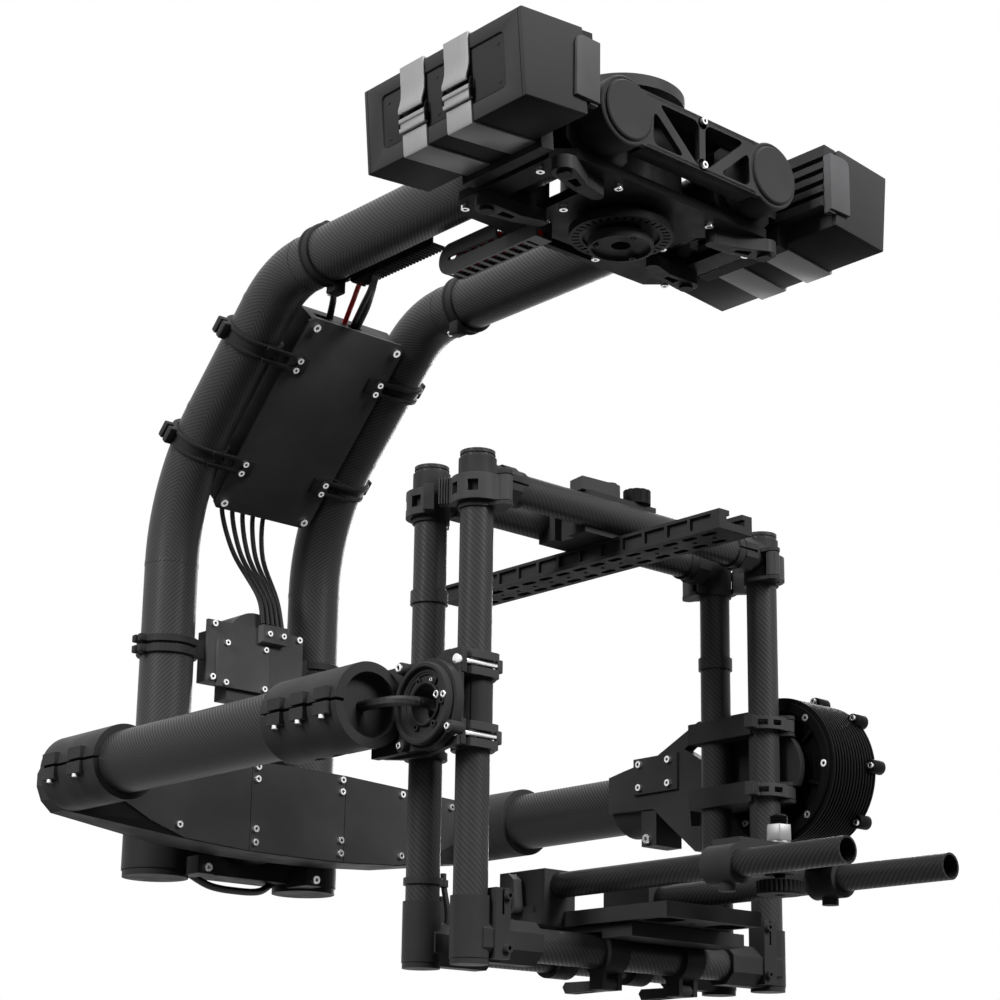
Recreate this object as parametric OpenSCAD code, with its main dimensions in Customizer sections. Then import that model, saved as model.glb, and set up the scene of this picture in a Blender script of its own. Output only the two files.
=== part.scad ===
// Motorized gimbal stabilizer: pan head, yoke, roll stage, tilt stage, camera cage and camera plates.
// Millimetres, +Z up, -Y is where the lens points, -X is the near side. The mounting face is at Z = 0
// and the pan, roll and tilt axes cross at Z = -gimbal_drop. Modules are drawn about that crossing point.

/* [Layout] */
// Height of the mounting face above the crossing point of the axes
gimbal_drop = 540; // [536:1:560]
// Distance of each yoke tube from the pan axis
yoke_half_w = 83.5; // [80:0.5:90]
// Height of the level part of the yoke tubes
yoke_top_z = 470; // [465:1:476]
// Distance of the upright part of the yoke behind the pan axis
yoke_back_y = 516.5; // [505:0.5:530]
// How far the 45 degree part of the yoke drops
yoke_drop = 164.5; // [155:0.5:175]
// Height of the lower end of the yoke tubes
yoke_foot_z = -62; // [-70:1:-58]
// Distance of each roll arm from the roll axis
arm_half_w = 222; // [218:1:228]
// Front face of the roll box
roll_front_y = 414.4; // [405:0.1:425]

/* [Tubes] */
// Diameter of the yoke tubes
yoke_d = 50; // [46:0.5:52]
// Wall of the yoke tubes
yoke_wall = 2.5; // [1.5:0.1:4]
// Bend radius at the top of the yoke
bend_top_r = 85; // [70:1:110]
// Bend radius at the back of the yoke
bend_back_r = 190; // [150:1:220]
// Diameter of the roll arms
arm_d = 52; // [48:0.5:54]
// Wall of the roll arms
arm_wall = 2; // [1.5:0.1:4]
// Diameter of the cage tubes and crossbars
cage_tube_d = 25; // [22:0.5:26]
// Wall of the cage tubes
cage_wall = 1.5; // [1:0.1:3]
// Diameter of the lens rods
rod_d = 19; // [15:0.1:20]
// Wall of the lens rods
rod_wall = 1.5; // [1:0.1:3]

/* [Mount and pan head] */
// Diameter of the top mounting disc
mount_d = 106; // [100:1:120]
// Thickness of the top mounting disc
mount_t = 10; // [8:0.5:14]
// Bolt circle of the top mounting disc
mount_pcd = 84; // [80:1:90]
// Diameter of each mounting hole
mount_hole_d = 8.5; // [6:0.1:10]
// Cable bore through the mounting disc and pan shaft
cable_bore_d = 24; // [16:1:28]
// Outside diameter of the pan shaft
pan_shaft_d = 36; // [34:1:38]
// Radius of the pan motor housing
pan_can_r = 50; // [46:0.5:52]
// Distance of the pan clamps from the pan axis, front and back
pan_clamp_y = 45; // [40:1:50]
// Length of each pan clamp along its tube
pan_clamp_len = 26; // [20:1:30]
// Length of the pan clamp levers
pan_lever_len = 50; // [40:1:56]
// Thickness of the pan head plates
head_plate_t = 8; // [5:0.5:10]

/* [Batteries] */
// Width of a battery
battery_w = 62.5; // [50:0.5:70]
// Length of a battery
battery_len = 185; // [160:1:190]
// Height of a battery
battery_h = 70; // [60:0.5:80]
// How far each battery leans out at its top, in degrees
battery_lean = 5.2; // [0:0.1:8]
// Distance of the lower inner edge of each battery from the pan axis
battery_x = 142; // [140:0.5:150]
// Middle of the batteries along Y
battery_mid_y = -16.5; // [-25:0.5:0]
// Width of the battery straps
strap_w = 28; // [20:1:30]
// Thickness of the battery straps
strap_t = 1.6; // [1:0.1:2.5]

/* [Controller box] */
// Width of the controller cover
esc_w = 112; // [100:1:113]
// Length of the controller cover
esc_len = 211; // [190:1:215]
// Distance of the cover's face from the tube centres
esc_face = 28.5; // [27:0.5:34]
// Thickness of the controller cover
esc_cover_t = 2.5; // [1.5:0.1:4]
// Spacing of the clips along the controller box
esc_clip_pitch = 115; // [100:1:125]

/* [Roll stage] */
// Depth of the roll box behind its covers
roll_box_depth = 46; // [40:1:48]
// Thickness of the roll box covers
roll_cover_t = 2; // [1:0.1:3]
// Wall of the roll box
roll_wall = 4; // [3:0.5:6]
// Half width of the roll box between its arm sockets
roll_half_w = 195; // [193:0.5:196]
// Wall of the sockets and sleeves round the arms
sleeve_wall = 5.5; // [4:0.5:6]
// Radius of the roll motor
roll_motor_r = 50; // [44:0.5:54]
// Radius of the tilt motor over its fins
tilt_motor_r = 61; // [56:0.5:64]
// Number of fins on the tilt motor
fin_count = 15; // [10:1:18]
// Length of the finned part of the tilt motor
fin_len = 54; // [46:1:60]

/* [Cage] */
// Distance of each cage tube from the middle, across
cage_half_w = 157; // [155:0.5:158]
// Front tubes along Y
cage_front_y = -7.5; // [-12:0.5:-4]
// Rear tubes along Y
cage_rear_y = 45.5; // [42:0.5:50]
// Top of the cage above the tilt axis
cage_top_z = 195; // [185:1:205]
// Bottom of the cage below the tilt axis
cage_bottom_z = -180; // [-190:1:-176]
// Height of the upper crossbars
top_bar_z = 175; // [170:0.5:178]
// Height of the lower crossbars
low_bar_z = -164; // [-166:0.5:-160]
// Height of the upper stage clamps above the tilt axis
stage_up_z = 33; // [30:0.5:36]
// Depth of the lower stage clamps below the tilt axis
stage_down_z = 22; // [20:0.5:30]
// Height of the lever clamps
clamp_h = 17; // [14:0.5:20]

/* [Rails and camera plate] */
// Width of the top rail
rail_w = 36; // [32:1:40]
// Height of the top rail
rail_h = 15; // [12:0.5:16]
// Length of the top rail
rail_len = 317; // [280:1:340]
// Front end of the top rail along Y
rail_front_y = -122; // [-140:1:-110]
// Width of the camera plate
plate_w = 100; // [84:1:104]
// Length of the camera plate
plate_len = 182; // [160:1:200]
// Thickness of the camera plate
plate_t = 11; // [8:0.5:12]
// Distance of each lens rod from the middle
rod_half_w = 54.8; // [52:0.1:56]
// Height of the lens rods below the tilt axis
rod_z = -115.5; // [-118:0.5:-114]
// Length of the lens rods
rod_len = 325; // [280:1:340]
// Front end of the lens rods along Y
rod_front_y = -266; // [-280:1:-250]

/* [Fits] */
// Radial clearance of a running or sliding fit
run_fit = 0.06; // [0.02:0.01:0.1]
// Radial gap between a clamp and the tube it is fixed on
grip_gap = 0.05; // [0:0.01:0.1]
// Gap between parts of different bodies
body_gap = 0.4; // [0.3:0.1:1]

/* [Hidden] */
$fn = 64;
e = 0.01;
near = -1;
far = 1;
yoke_r = yoke_d / 2;
arm_r = arm_d / 2;
cage_r = cage_tube_d / 2;
rod_r = rod_d / 2;
shaft_r = pan_shaft_d / 2;
mount_bottom = gimbal_drop - mount_t;
// Pan head levels, from the tubes outwards
clamp_wall = 5;
plate_low_top = yoke_top_z - yoke_r - clamp_wall;
plate_low = plate_low_top - head_plate_t;
plate_high = yoke_top_z + yoke_r + clamp_wall;
plate_high_top = plate_high + head_plate_t - 2;
can_top = plate_high_top + 12;
flange_t = 6;
index_t = 7;
index_low = plate_low - 6 - index_t;
shaft_end_z = index_low - 2;
end_ring_t = 8;
clamp_half = yoke_r + 8;
lever_t = 11;
lever_top = plate_low - body_gap;
pan_pivot_x = yoke_half_w + 31;
pan_pivot_front = -pan_clamp_y - 9;
pan_pivot_back = pan_clamp_y - 9;
pan_pin_r = 3;
// Yoke path in the YZ plane
bend_a_t = bend_top_r * tan(22.5);
bend_b_t = bend_back_r * tan(22.5);
corner_y = yoke_back_y - yoke_drop;
corner_z = yoke_top_z - yoke_drop;
bend_a = [corner_y - bend_a_t, yoke_top_z - bend_top_r];
bend_b = [yoke_back_y - bend_back_r, corner_z - bend_b_t];
truss_front = -92;
joint_ring = 0.3;
truss_depth = 26;
esc_mid = [corner_y + 89, yoke_top_z - 89];
clip_screw = 5;
esc_screw_x = esc_w / 2 - 9;
// Roll stage
roll_box_front = roll_front_y + roll_cover_t;
roll_box_back = roll_box_front + roll_box_depth;
roll_motor_front = roll_box_back + 5;
roll_motor_back = roll_motor_front + 72;
roll_shaft_r = 15;
socket_r = arm_r + sleeve_wall;
socket_front = roll_front_y - 62;
socket_back = roll_box_front + 20;
arm_back = socket_back - 6;
arm_front_near = 46;
arm_front_far = 78;
fit_front_near = 30;
fit_back_near = 122;
fit_front_far = 70;
fit_back_far = 205;
// Tilt axis hardware, along X from the middle outwards
stage_in = cage_half_w - cage_r - 4;
stage_out = cage_half_w + cage_r + 18;
hub_in = stage_out + body_gap;
hub_out = hub_in + 7;
hub_r = 22;
hub_shell_r = 33;
hub_ring_r = 30;
motor_in = cage_half_w + cage_r + 8.5;
motor_out = motor_in + fin_len + 6;
far_stage_out = motor_in - body_gap;
rotor_r = 20;
// Cage
grip_r = cage_r + 1.8;
lever_clear = 0.4;
lever_in_r = grip_r + lever_clear + 0.6;
lever_out_r = lever_in_r + 4;
stop_z = 88;
stop_h = 10;
foot_h = 46;
// Rail and plates
rail_z = top_bar_z - cage_r - 5 - rail_h;
slot_w = 14;
slot_d = 9;
carriage_x = [-46, 28];
cross_x = 17;
cross_half = 60;
cross_top = low_bar_z + cage_r + 5.5;
plate_z = cross_top + body_gap;
plate_front = -97;
bracket_y = [9, 59];
support_y = [-172, -146];
stud_r = 4;
stud_pitch = 1.25;

// Shapes used throughout
module hung() { translate([0, 0, -gimbal_drop]) children(); }
module sides() {
  children();
  mirror([1, 0, 0]) children();
}
module xrod(r, x0, x1, y = 0, z = 0) {
  translate([x0, y, z]) rotate([0, 90, 0]) cylinder(r = r, h = x1 - x0);
}
module yrod(r, y0, y1, x = 0, z = 0) {
  translate([x, y1, z]) rotate([90, 0, 0]) cylinder(r = r, h = y1 - y0);
}
module zrod(r, z0, z1, x = 0, y = 0) { translate([x, y, z0]) cylinder(r = r, h = z1 - z0); }
module block(x0, x1, y0, y1, z0, z1) { translate([x0, y0, z0]) cube([x1 - x0, y1 - y0, z1 - z0]); }
// A flat shape drawn in X and Z, thick along Y
module along_y(y0, y1) { translate([0, y1, 0]) rotate([90, 0, 0]) linear_extrude(y1 - y0) children(); }
// A flat shape drawn in Y and Z, thick along X
module along_x(x0, x1) { translate([x0, 0, 0]) rotate([90, 0, 90]) linear_extrude(x1 - x0) children(); }
// A rectangle with cut corners
module cut_square(w, h, c) {
  polygon([[-w / 2 + c, -h / 2], [w / 2 - c, -h / 2], [w / 2, -h / 2 + c], [w / 2, h / 2 - c],
    [w / 2 - c, h / 2], [-w / 2 + c, h / 2], [-w / 2, h / 2 - c], [-w / 2, -h / 2 + c]]);
}
// A tapered arm between two rounds
module arm2d(len, r0, r1) {
  circle(r0);
  translate([len, 0]) circle(r1);
  polygon([[0, r0], [len, r1], [len, -r1], [0, -r0]]);
}
// A socket head that stands on a face; up is the way it points
module socket_head(d, p, turn = [0, 0, 0]) {
  translate(p) rotate(turn) difference() {
    cylinder(d = d, h = d * 0.55, $fn = 32);
    translate([0, 0, d * 0.2]) cylinder(d = d * 0.5, h = d, $fn = 6);
  }
}
FRONT = [90, 0, 0];
DOWN = [180, 0, 0];
NEAR = [0, -90, 0];
FAR = [0, 90, 0];
// A round cable through points on a curve
function unit(v) = v / norm(v);
function bez(p, t) = pow(1 - t, 3) * p[0] + 3 * t * pow(1 - t, 2) * p[1]
  + 3 * t * t * (1 - t) * p[2] + pow(t, 3) * p[3];
function ring_at(pts, i, r, n) = let (
    a = pts[max(i - 1, 0)], b = pts[min(i + 1, len(pts) - 1)],
    t = unit(b - a), u = unit(cross(t, [0.9, 0.1, 0.42])), v = cross(t, u))
  [for (j = [0:n - 1]) pts[i] + r * (cos(360 * j / n) * u + sin(360 * j / n) * v)];
module cable(pts, r, n = 8) {
  m = len(pts);
  polyhedron(
    points = [for (i = [0:m - 1]) each ring_at(pts, i, r, n)],
    faces = concat(
      [[for (j = [0:n - 1]) j]],
      [for (i = [0:m - 2]) for (j = [0:n - 1]) [i * n + j, (i + 1) * n + j, (i + 1) * n + (j + 1) % n]],
      [for (i = [0:m - 2]) for (j = [0:n - 1]) [i * n + j, (i + 1) * n + (j + 1) % n, i * n + (j + 1) % n]],
      [[for (j = [n - 1:-1:0]) (m - 1) * n + j]]));
}
module curve_cable(p, r, steps = 14) { cable([for (i = [0:steps]) bez(p, i / steps)], r); }

// Mount
module mount_disc() {
  color("#3a3a3d") hung() difference() {
    zrod(mount_d / 2, mount_bottom, gimbal_drop);
    zrod(cable_bore_d / 2, mount_bottom - e, gimbal_drop + e);
    for (a = [45:90:315]) rotate(a) zrod(mount_hole_d / 2, mount_bottom - e, gimbal_drop + e,
      mount_pcd / 2);
  }
}
module pan_shaft() {
  color("#8a8a8e") hung() difference() {
    union() {
      zrod(shaft_r, shaft_end_z, mount_bottom);
      zrod(mount_pcd / 2 - mount_hole_d - 2, mount_bottom - flange_t, mount_bottom);
      zrod(pan_can_r - 12, plate_low_top + 22, plate_high - 8);
    }
    zrod(cable_bore_d / 2, shaft_end_z - e, mount_bottom + e);
  }
}
module shaft_end_ring() {
  r = shaft_r + 9;
  color("#202022") hung() {
    difference() {
      zrod(r, shaft_end_z - end_ring_t, shaft_end_z);
      zrod(cable_bore_d / 2 - 4, shaft_end_z - end_ring_t - e, shaft_end_z + e);
      zrod(r - 2.5, shaft_end_z - end_ring_t - e, shaft_end_z - end_ring_t + 3);
    }
    for (a = [20, 150, 255])
      socket_head(6, [(shaft_r + 4) * cos(a), (shaft_r + 4) * sin(a), shaft_end_z - end_ring_t + 3], DOWN);
  }
}

// Pan head
module pan_motor_housing() {
  color("#1b1b1d") hung() difference() {
    zrod(pan_can_r, plate_low_top, can_top);
    zrod(shaft_r + run_fit, plate_low_top - e, can_top + e);
    zrod(pan_can_r - 8, plate_low_top + 14, plate_high);
    for (a = [0:30:330]) rotate(a) block(pan_can_r - 14, pan_can_r - 6, -4, 4, can_top - 3, can_top + e);
  }
}
module plate_window(x, y, w, l) { translate([x, y]) cut_square(w, l, 5); }
module head_plate_2d(half_w) {
  difference() {
    polygon([[-half_w + 16, -62], [half_w - 16, -62], [half_w, -pan_clamp_y - 2], [half_w,
      pan_clamp_y + 14],
      [half_w - 20, pan_clamp_y + 33], [-half_w + 20, pan_clamp_y + 33], [-half_w, pan_clamp_y + 14],
      [-half_w, -pan_clamp_y - 2]]);
    for (x = [-yoke_half_w, yoke_half_w]) plate_window(x, 0, 38, 2 * pan_clamp_y - pan_clamp_len - 10);
    plate_window(0, pan_clamp_y + 21, 76, 12);
  }
}
module pan_pin(x, y) {
  zrod(pan_pin_r, lever_top - lever_t - body_gap - 2, plate_low + e, x, y);
  zrod(pan_pin_r + 3, lever_top - lever_t - body_gap - 2.5, lever_top - lever_t - body_gap, x, y);
}
module head_plates() {
  color("#1f1f21") hung() {
    translate([0, 0, plate_low]) linear_extrude(head_plate_t) difference() {
      head_plate_2d(pan_pivot_x + 10);
      circle(shaft_r + 4);
    }
    translate([0, 0, plate_high]) linear_extrude(head_plate_t - 2) difference() {
      head_plate_2d(yoke_half_w + clamp_half);
      circle(pan_can_r + grip_gap);
    }
    for (x = [-pan_pivot_x, pan_pivot_x]) for (y = [pan_pivot_front, pan_pivot_back]) pan_pin(x, y);
  }
}
module pan_tube_clamps() {
  color("#161618") hung() for (x = [-yoke_half_w, yoke_half_w]) for (y = [-pan_clamp_y, pan_clamp_y])
    translate([x, y, yoke_top_z]) difference() {
      along_y(-pan_clamp_len / 2, pan_clamp_len / 2) cut_square(2 * clamp_half,
        2 * (yoke_r + clamp_wall), 9);
      yrod(yoke_r + run_fit, -pan_clamp_len, pan_clamp_len);
      translate([x > 0 ? yoke_r + 4 : -yoke_r - 4, 0, 0]) cube([14, pan_clamp_len + 1, 3], center = true);
    }
}
module index_ring() {
  color("#2c2c2f") hung() difference() {
    union() {
      zrod(shaft_r + 25, index_low, index_low + index_t);
      zrod(shaft_r + 15, index_low, plate_low);
    }
    zrod(shaft_r + run_fit, index_low - e, plate_low + e);
    zrod(shaft_r + 14, index_low - e, index_low + 2);
    for (a = [0:10:350]) rotate(a) block(shaft_r + 16.5, shaft_r + 22.5, -1.1, 1.1, index_low - e,
      index_low + index_t + e);
  }
}
// The frame of a leaning battery on the far side: X outwards from its lower inner edge, Z up
battery_z = yoke_top_z - 30.7;
strap_y = [-37, 15];
battery_gap = 0.3;
module leaning() { translate([battery_x, battery_mid_y, battery_z]) rotate([0, battery_lean, 0])
  children(); }
module battery_trays() {
  color("#19191b") hung() sides() {
    leaning() difference() {
      union() {
        block(-14, -battery_gap, -battery_len / 2 + 4, battery_len / 2 - 4, 14, battery_h + battery_gap);
        block(-13, -battery_gap, strap_y[0] - battery_mid_y - 20, strap_y[1] - battery_mid_y + 20, -7, 15);
      }
      for (z = [22:11:battery_h - 8]) block(-15, -9, -battery_len, battery_len, z, z + 5);
    }
    for (y = [-pan_clamp_y, pan_clamp_y])
      block(yoke_half_w + clamp_half, battery_x - 8, y - 9, y + 9, yoke_top_z - 12, yoke_top_z + 16);
  }
}
module batteries() {
  color("#202020") hung() sides() leaning() difference() {
    translate([battery_w / 2, 0, battery_h / 2])
      along_y(-battery_len / 2, battery_len / 2) cut_square(battery_w, battery_h, 1.2);
    translate([battery_w, 0, battery_h / 2 + 1])
      along_x(-0.8, 1) cut_square(battery_len - 42, battery_h - 26, 3);
  }
}
module battery_straps() {
  color("#b9babd") hung() sides() leaning() for (y = strap_y) translate([0, y - battery_mid_y, 0]) {
    along_y(-strap_w / 2, strap_w / 2) difference() {
      translate([-12, -battery_gap - strap_t])
        square([12 + battery_w + battery_gap + strap_t, battery_h + 2 * (battery_gap + strap_t)]);
      translate([-13, -battery_gap]) square([13 + battery_w + battery_gap, battery_h + 2 * battery_gap]);
      translate([-13, -battery_gap - strap_t - 1]) square([13, 10]);
    }
    difference() {
      block(battery_w + battery_gap + strap_t - e, battery_w + battery_gap + strap_t + 2.4,
        -strap_w / 2 - 1, strap_w / 2 + 1, 18, 38);
      block(battery_w, battery_w + 9, -strap_w / 2 - 2, strap_w / 2 + 2, 24, 27);
      block(battery_w, battery_w + 9, -strap_w / 2 - 2, strap_w / 2 + 2, 33, 34);
    }
  }
}
// Cable chain: a lower run from the head, a U bend and a short upper run
chain_x = [-yoke_half_w + yoke_r + 1.5, -yoke_half_w + yoke_r + 19.5];
chain_z = yoke_top_z - 39;
chain_in = 2;
chain_out = 14;
chain_y = [pan_clamp_y + 8, pan_clamp_y + 46, pan_clamp_y + 105];
chain_pitch = 11;
wire_r = 2;
module chain_2d() {
  translate([chain_y[0], chain_z - chain_out]) square([chain_y[2] - chain_y[0], chain_out - chain_in]);
  translate([chain_y[1], chain_z + chain_in]) square([chain_y[2] - chain_y[1], chain_out - chain_in]);
  intersection() {
    translate([chain_y[2], chain_z]) difference() {
      circle(chain_out);
      circle(chain_in);
    }
    translate([chain_y[2], chain_z - chain_out]) square([chain_out, 2 * chain_out]);
  }
}
module chain_bars(z, y0) {
  for (y = [y0 + 3:chain_pitch:chain_y[2] - 2]) block(chain_x[0], chain_x[1], y, y + 4, z, z + 1.8);
}
module drag_chain() {
  color("#111112") hung() {
    along_x(chain_x[0], chain_x[0] + 2.5) chain_2d();
    along_x(chain_x[1] - 2.5, chain_x[1]) chain_2d();
    chain_bars(chain_z - chain_out, chain_y[0]);
    chain_bars(chain_z - chain_in - 1.8, chain_y[0]);
    chain_bars(chain_z + chain_in, chain_y[1]);
    chain_bars(chain_z + chain_out - 1.8, chain_y[1]);
    for (a = [-60, -20, 20, 60]) translate([0, chain_y[2], chain_z]) rotate([a, 0, 0])
      block(chain_x[0], chain_x[1], chain_out - 2, chain_out - 0.2, -2, 2);
    block(chain_x[0], chain_x[1], chain_y[0] - 12, chain_y[0] + e, chain_z - chain_out, plate_low);
  }
  color("#b01c1c") hung() for (i = [0:2]) {
    x = chain_x[0] + 4.7 + i * 4.3;
    yrod(wire_r, chain_y[0], chain_y[2], x, chain_z - chain_out + 1.8 + wire_r);
    yrod(wire_r, chain_y[1], chain_y[2], x, chain_z + chain_in + 1.8 + wire_r);
  }
}
module head_screws() {
  color("#c8c8ca") hung() sides() {
    for (p = [[52, -50], [57, 8], [52, 35], [31, 62], [pan_pivot_x + 0.5, 62], [pan_pivot_x + 3, -30]])
      socket_head(7, [p[0], p[1], plate_low], DOWN);
    for (y = [-pan_clamp_y, pan_clamp_y]) socket_head(7, [yoke_half_w + 22, y, plate_high_top]);
  }
}
// Pan levers are drawn on the far side with the arm inwards
module pan_lever(turn) {
  rotate(turn) translate([0, 0, lever_top - lever_t]) linear_extrude(lever_t) difference() {
    union() {
      arm2d(pan_lever_len * 0.6, 10, 7);
      translate([pan_lever_len * 0.6, 0]) rotate(-14) arm2d(pan_lever_len * 0.4, 7, 6);
    }
    circle(pan_pin_r + run_fit);
    translate([pan_lever_len * 0.26, 0]) polygon([[0, -4], [14, -2.5], [14, 2.5], [0, 4]]);
  }
}
module pan_lever_near_front() { color("#2a2a2c") hung() translate([-pan_pivot_x, pan_pivot_front, 0])
  pan_lever(22); }
module pan_lever_near_rear() { color("#2a2a2c") hung() translate([-pan_pivot_x, pan_pivot_back, 0])
  pan_lever(-4); }
module pan_lever_far_front() {
  color("#2a2a2c") hung() translate([pan_pivot_x, pan_pivot_front, 0]) mirror([1, 0, 0]) pan_lever(22);
}
module pan_lever_far_rear() {
  color("#2a2a2c") hung() translate([pan_pivot_x, pan_pivot_back, 0]) mirror([1, 0, 0]) pan_lever(-4);
}

// Yoke
// The bent path of a yoke tube, as a solid of radius r
module yoke_bend(bend_r, centre, from, r) {
  translate([0, centre[0], centre[1]]) rotate([90, 0, 90]) rotate(from)
    rotate_extrude(angle = 45) translate([bend_r, 0]) circle(r);
}
// A thin ring over each end of a bend makes the path one solid
module yoke_path(r, over) {
  a_end = [bend_a[0] + bend_top_r * cos(45), bend_a[1] + bend_top_r * sin(45)];
  b_start = [bend_b[0] + bend_back_r * cos(45), bend_b[1] + bend_back_r * sin(45)];
  yrod(r, truss_front + 1 - over, bend_a[0], 0, yoke_top_z);
  yrod(r + joint_ring, bend_a[0] - 2, bend_a[0] + 2, 0, yoke_top_z);
  yoke_bend(bend_top_r, bend_a, 45, r);
  translate([0, a_end[0], a_end[1]]) rotate([-135, 0, 0]) {
    cylinder(r = r, h = norm(b_start - a_end));
    for (z = [0, norm(b_start - a_end)]) zrod(r + joint_ring, z - 2, z + 2);
  }
  yoke_bend(bend_back_r, bend_b, 0, r);
  translate([0, yoke_back_y, 0]) {
    zrod(r, yoke_foot_z - over, bend_b[1]);
    zrod(r + joint_ring, bend_b[1] - 2, bend_b[1] + 2);
  }
}
module yoke_tube() {
  difference() {
    yoke_path(yoke_r, 0);
    yoke_path(yoke_r - yoke_wall, 1);
  }
}
module near_yoke_tube() { color("#2b2b2d") hung() translate([-yoke_half_w, 0, 0]) yoke_tube(); }
module far_yoke_tube() { color("#2b2b2d") hung() translate([yoke_half_w, 0, 0]) yoke_tube(); }
truss_rim = 3;
module truss_windows() {
  x = yoke_half_w - yoke_r;
  h = yoke_r - 5;
  polygon([[-x + 4, h * 0.35], [-x + 4, -h + 2.5], [-x * 0.42, -h + 2.5]]);
  polygon([[-x + 13, h - 3], [-4, h - 3], [-4, -h + 8], [-11, -h + 5.5]]);
}
module front_truss() {
  color("#242426") hung() translate([0, 0, yoke_top_z]) {
    difference() {
      union() {
        along_y(truss_front, truss_front + 5) difference() {
          square([2 * yoke_half_w, 2 * yoke_r - 3], center = true);
          truss_windows();
          mirror([1, 0]) truss_windows();
        }
        for (z = [-yoke_r + 1.5, yoke_r - 5]) block(-yoke_half_w, yoke_half_w, truss_front,
          truss_front + 20, z, z + 3.5);
        for (x = [-yoke_half_w, yoke_half_w]) yrod(yoke_r + truss_rim, truss_front,
          truss_front + truss_depth, x);
      }
      for (x = [-yoke_half_w, yoke_half_w]) yrod(yoke_r + grip_gap, truss_front - e,
        truss_front + truss_depth + e, x);
    }
    for (x = [-yoke_half_w, yoke_half_w]) yrod(yoke_r + 1, truss_front - 2.5, truss_front, x);
  }
}
module on_diagonal() { translate([0, esc_mid[0], esc_mid[1]]) rotate([135, 0, 0]) children(); }
tray_y = [chain_y[2] + 15, bend_a[0] - 18];
module band_clamps() {
  top = esc_face + 2.6;
  color("#1a1a1c") hung() {
    sides() difference() {
      union() {
      // Ring clamps at the first bend
      translate([yoke_half_w, bend_a[0] - 9, yoke_top_z]) {
        yrod(yoke_r + 3.5, -6, 6);
        block(-18, -6, -7, 7, -yoke_r - 10, -yoke_r + 8);
      }
      // Clips of the controller box
      on_diagonal() for (y = [-esc_clip_pitch / 2, esc_clip_pitch / 2]) translate([yoke_half_w, y,
        0]) difference() {
        union() {
          yrod(top, -8.5, 8.5);
          block(esc_screw_x - yoke_half_w - 6, 0, -8.5, 8.5, esc_face, top);
          block(yoke_r, yoke_r + 11, -8.5, 8.5, -13, 4);
        }
        block(esc_screw_x - yoke_half_w + 8, -9, -4, 4, esc_face - 6, top + 1);
      }
      // Clamps of the connector box
      translate([yoke_half_w, yoke_back_y, 146]) rotate([90, 0, 0]) {
        yrod(yoke_r + 3.5, -9, 9);
        block(yoke_r - 5, yoke_r + 9, -9, 9, -8, 8);
        block(-34, -12, -9, 9, 15, yoke_r - 5);
      }
      }
      translate([yoke_half_w, 0, 0]) yoke_path(yoke_r + grip_gap, 5);
    }
    // Cable tray beside the near tube
    block(-yoke_half_w + yoke_r + 0.1, -yoke_half_w + yoke_r + 2.6, tray_y[0], tray_y[1],
      yoke_top_z - 24, yoke_top_z + 2);
    block(-yoke_half_w + yoke_r + 0.1, -yoke_half_w + yoke_r + 18, tray_y[0], tray_y[1], yoke_top_z - 24,
      yoke_top_z - 21.5);
    for (y = [tray_y[0] + 2:5:tray_y[1] - 4])
      block(-yoke_half_w + yoke_r + 17, -yoke_half_w + yoke_r + 20, y, y + 3, yoke_top_z - 24,
        yoke_top_z - 21.5);
  }
}
module controller_box() {
  w = yoke_half_w - yoke_r - 7;
  color("#151516") hung() on_diagonal() difference() {
    block(-w, w, -esc_len / 2 + 3, esc_len / 2 - 3, -3, esc_face - esc_cover_t);
    block(-w + 3, w - 3, -esc_len / 2 + 6, esc_len / 2 - 6, 0, esc_face);
    for (x = [-30:12:30]) block(x - 3.5, x + 3.5, -esc_len, -esc_len / 2 + 8, 8, 15);
    for (x = [-34, 4]) block(x - 8, x + 8, esc_len / 2 - 8, esc_len, 8, 15);
  }
}
module controller_cover() {
  color("#2e2e30") hung() on_diagonal() translate([0, 0, esc_face - esc_cover_t])
    linear_extrude(esc_cover_t) cut_square(esc_w, esc_len, 5);
}
connector_z = [117, 176];
connector_y = yoke_back_y - yoke_r + 1;
module connector_box() {
  w = yoke_half_w - yoke_r - 3.5;
  color("#1d1d1f") hung() difference() {
    union() {
      block(-w, w, connector_y, connector_y + 4, connector_z[0], connector_z[1]);
      block(-w + 12, w - 12, connector_y + 3, connector_y + 34, connector_z[0] + 4, connector_z[1] - 6);
      yrod(31, connector_y + 3, connector_y + 40, 0, connector_z[1] - 16);
      block(-w + 10, 14, connector_y - 3.5, connector_y + e, connector_z[0] - 4, connector_z[1] - 18);
      block(2, 30, connector_y - 9, connector_y + e, connector_z[1] - 14, connector_z[1] + 3);
      block(-30, 10, connector_y + 2, connector_y + 22, connector_z[0] - 14, connector_z[0] + 6);
    }
    yrod(24, connector_y + 10, connector_y + 41, 0, connector_z[1] - 16);
  }
}
cable_r = 2.6;
function diag(y, z) = [esc_mid[0] - sin(45) * (y + z), esc_mid[1] + sin(45) * (y - z)];
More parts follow.
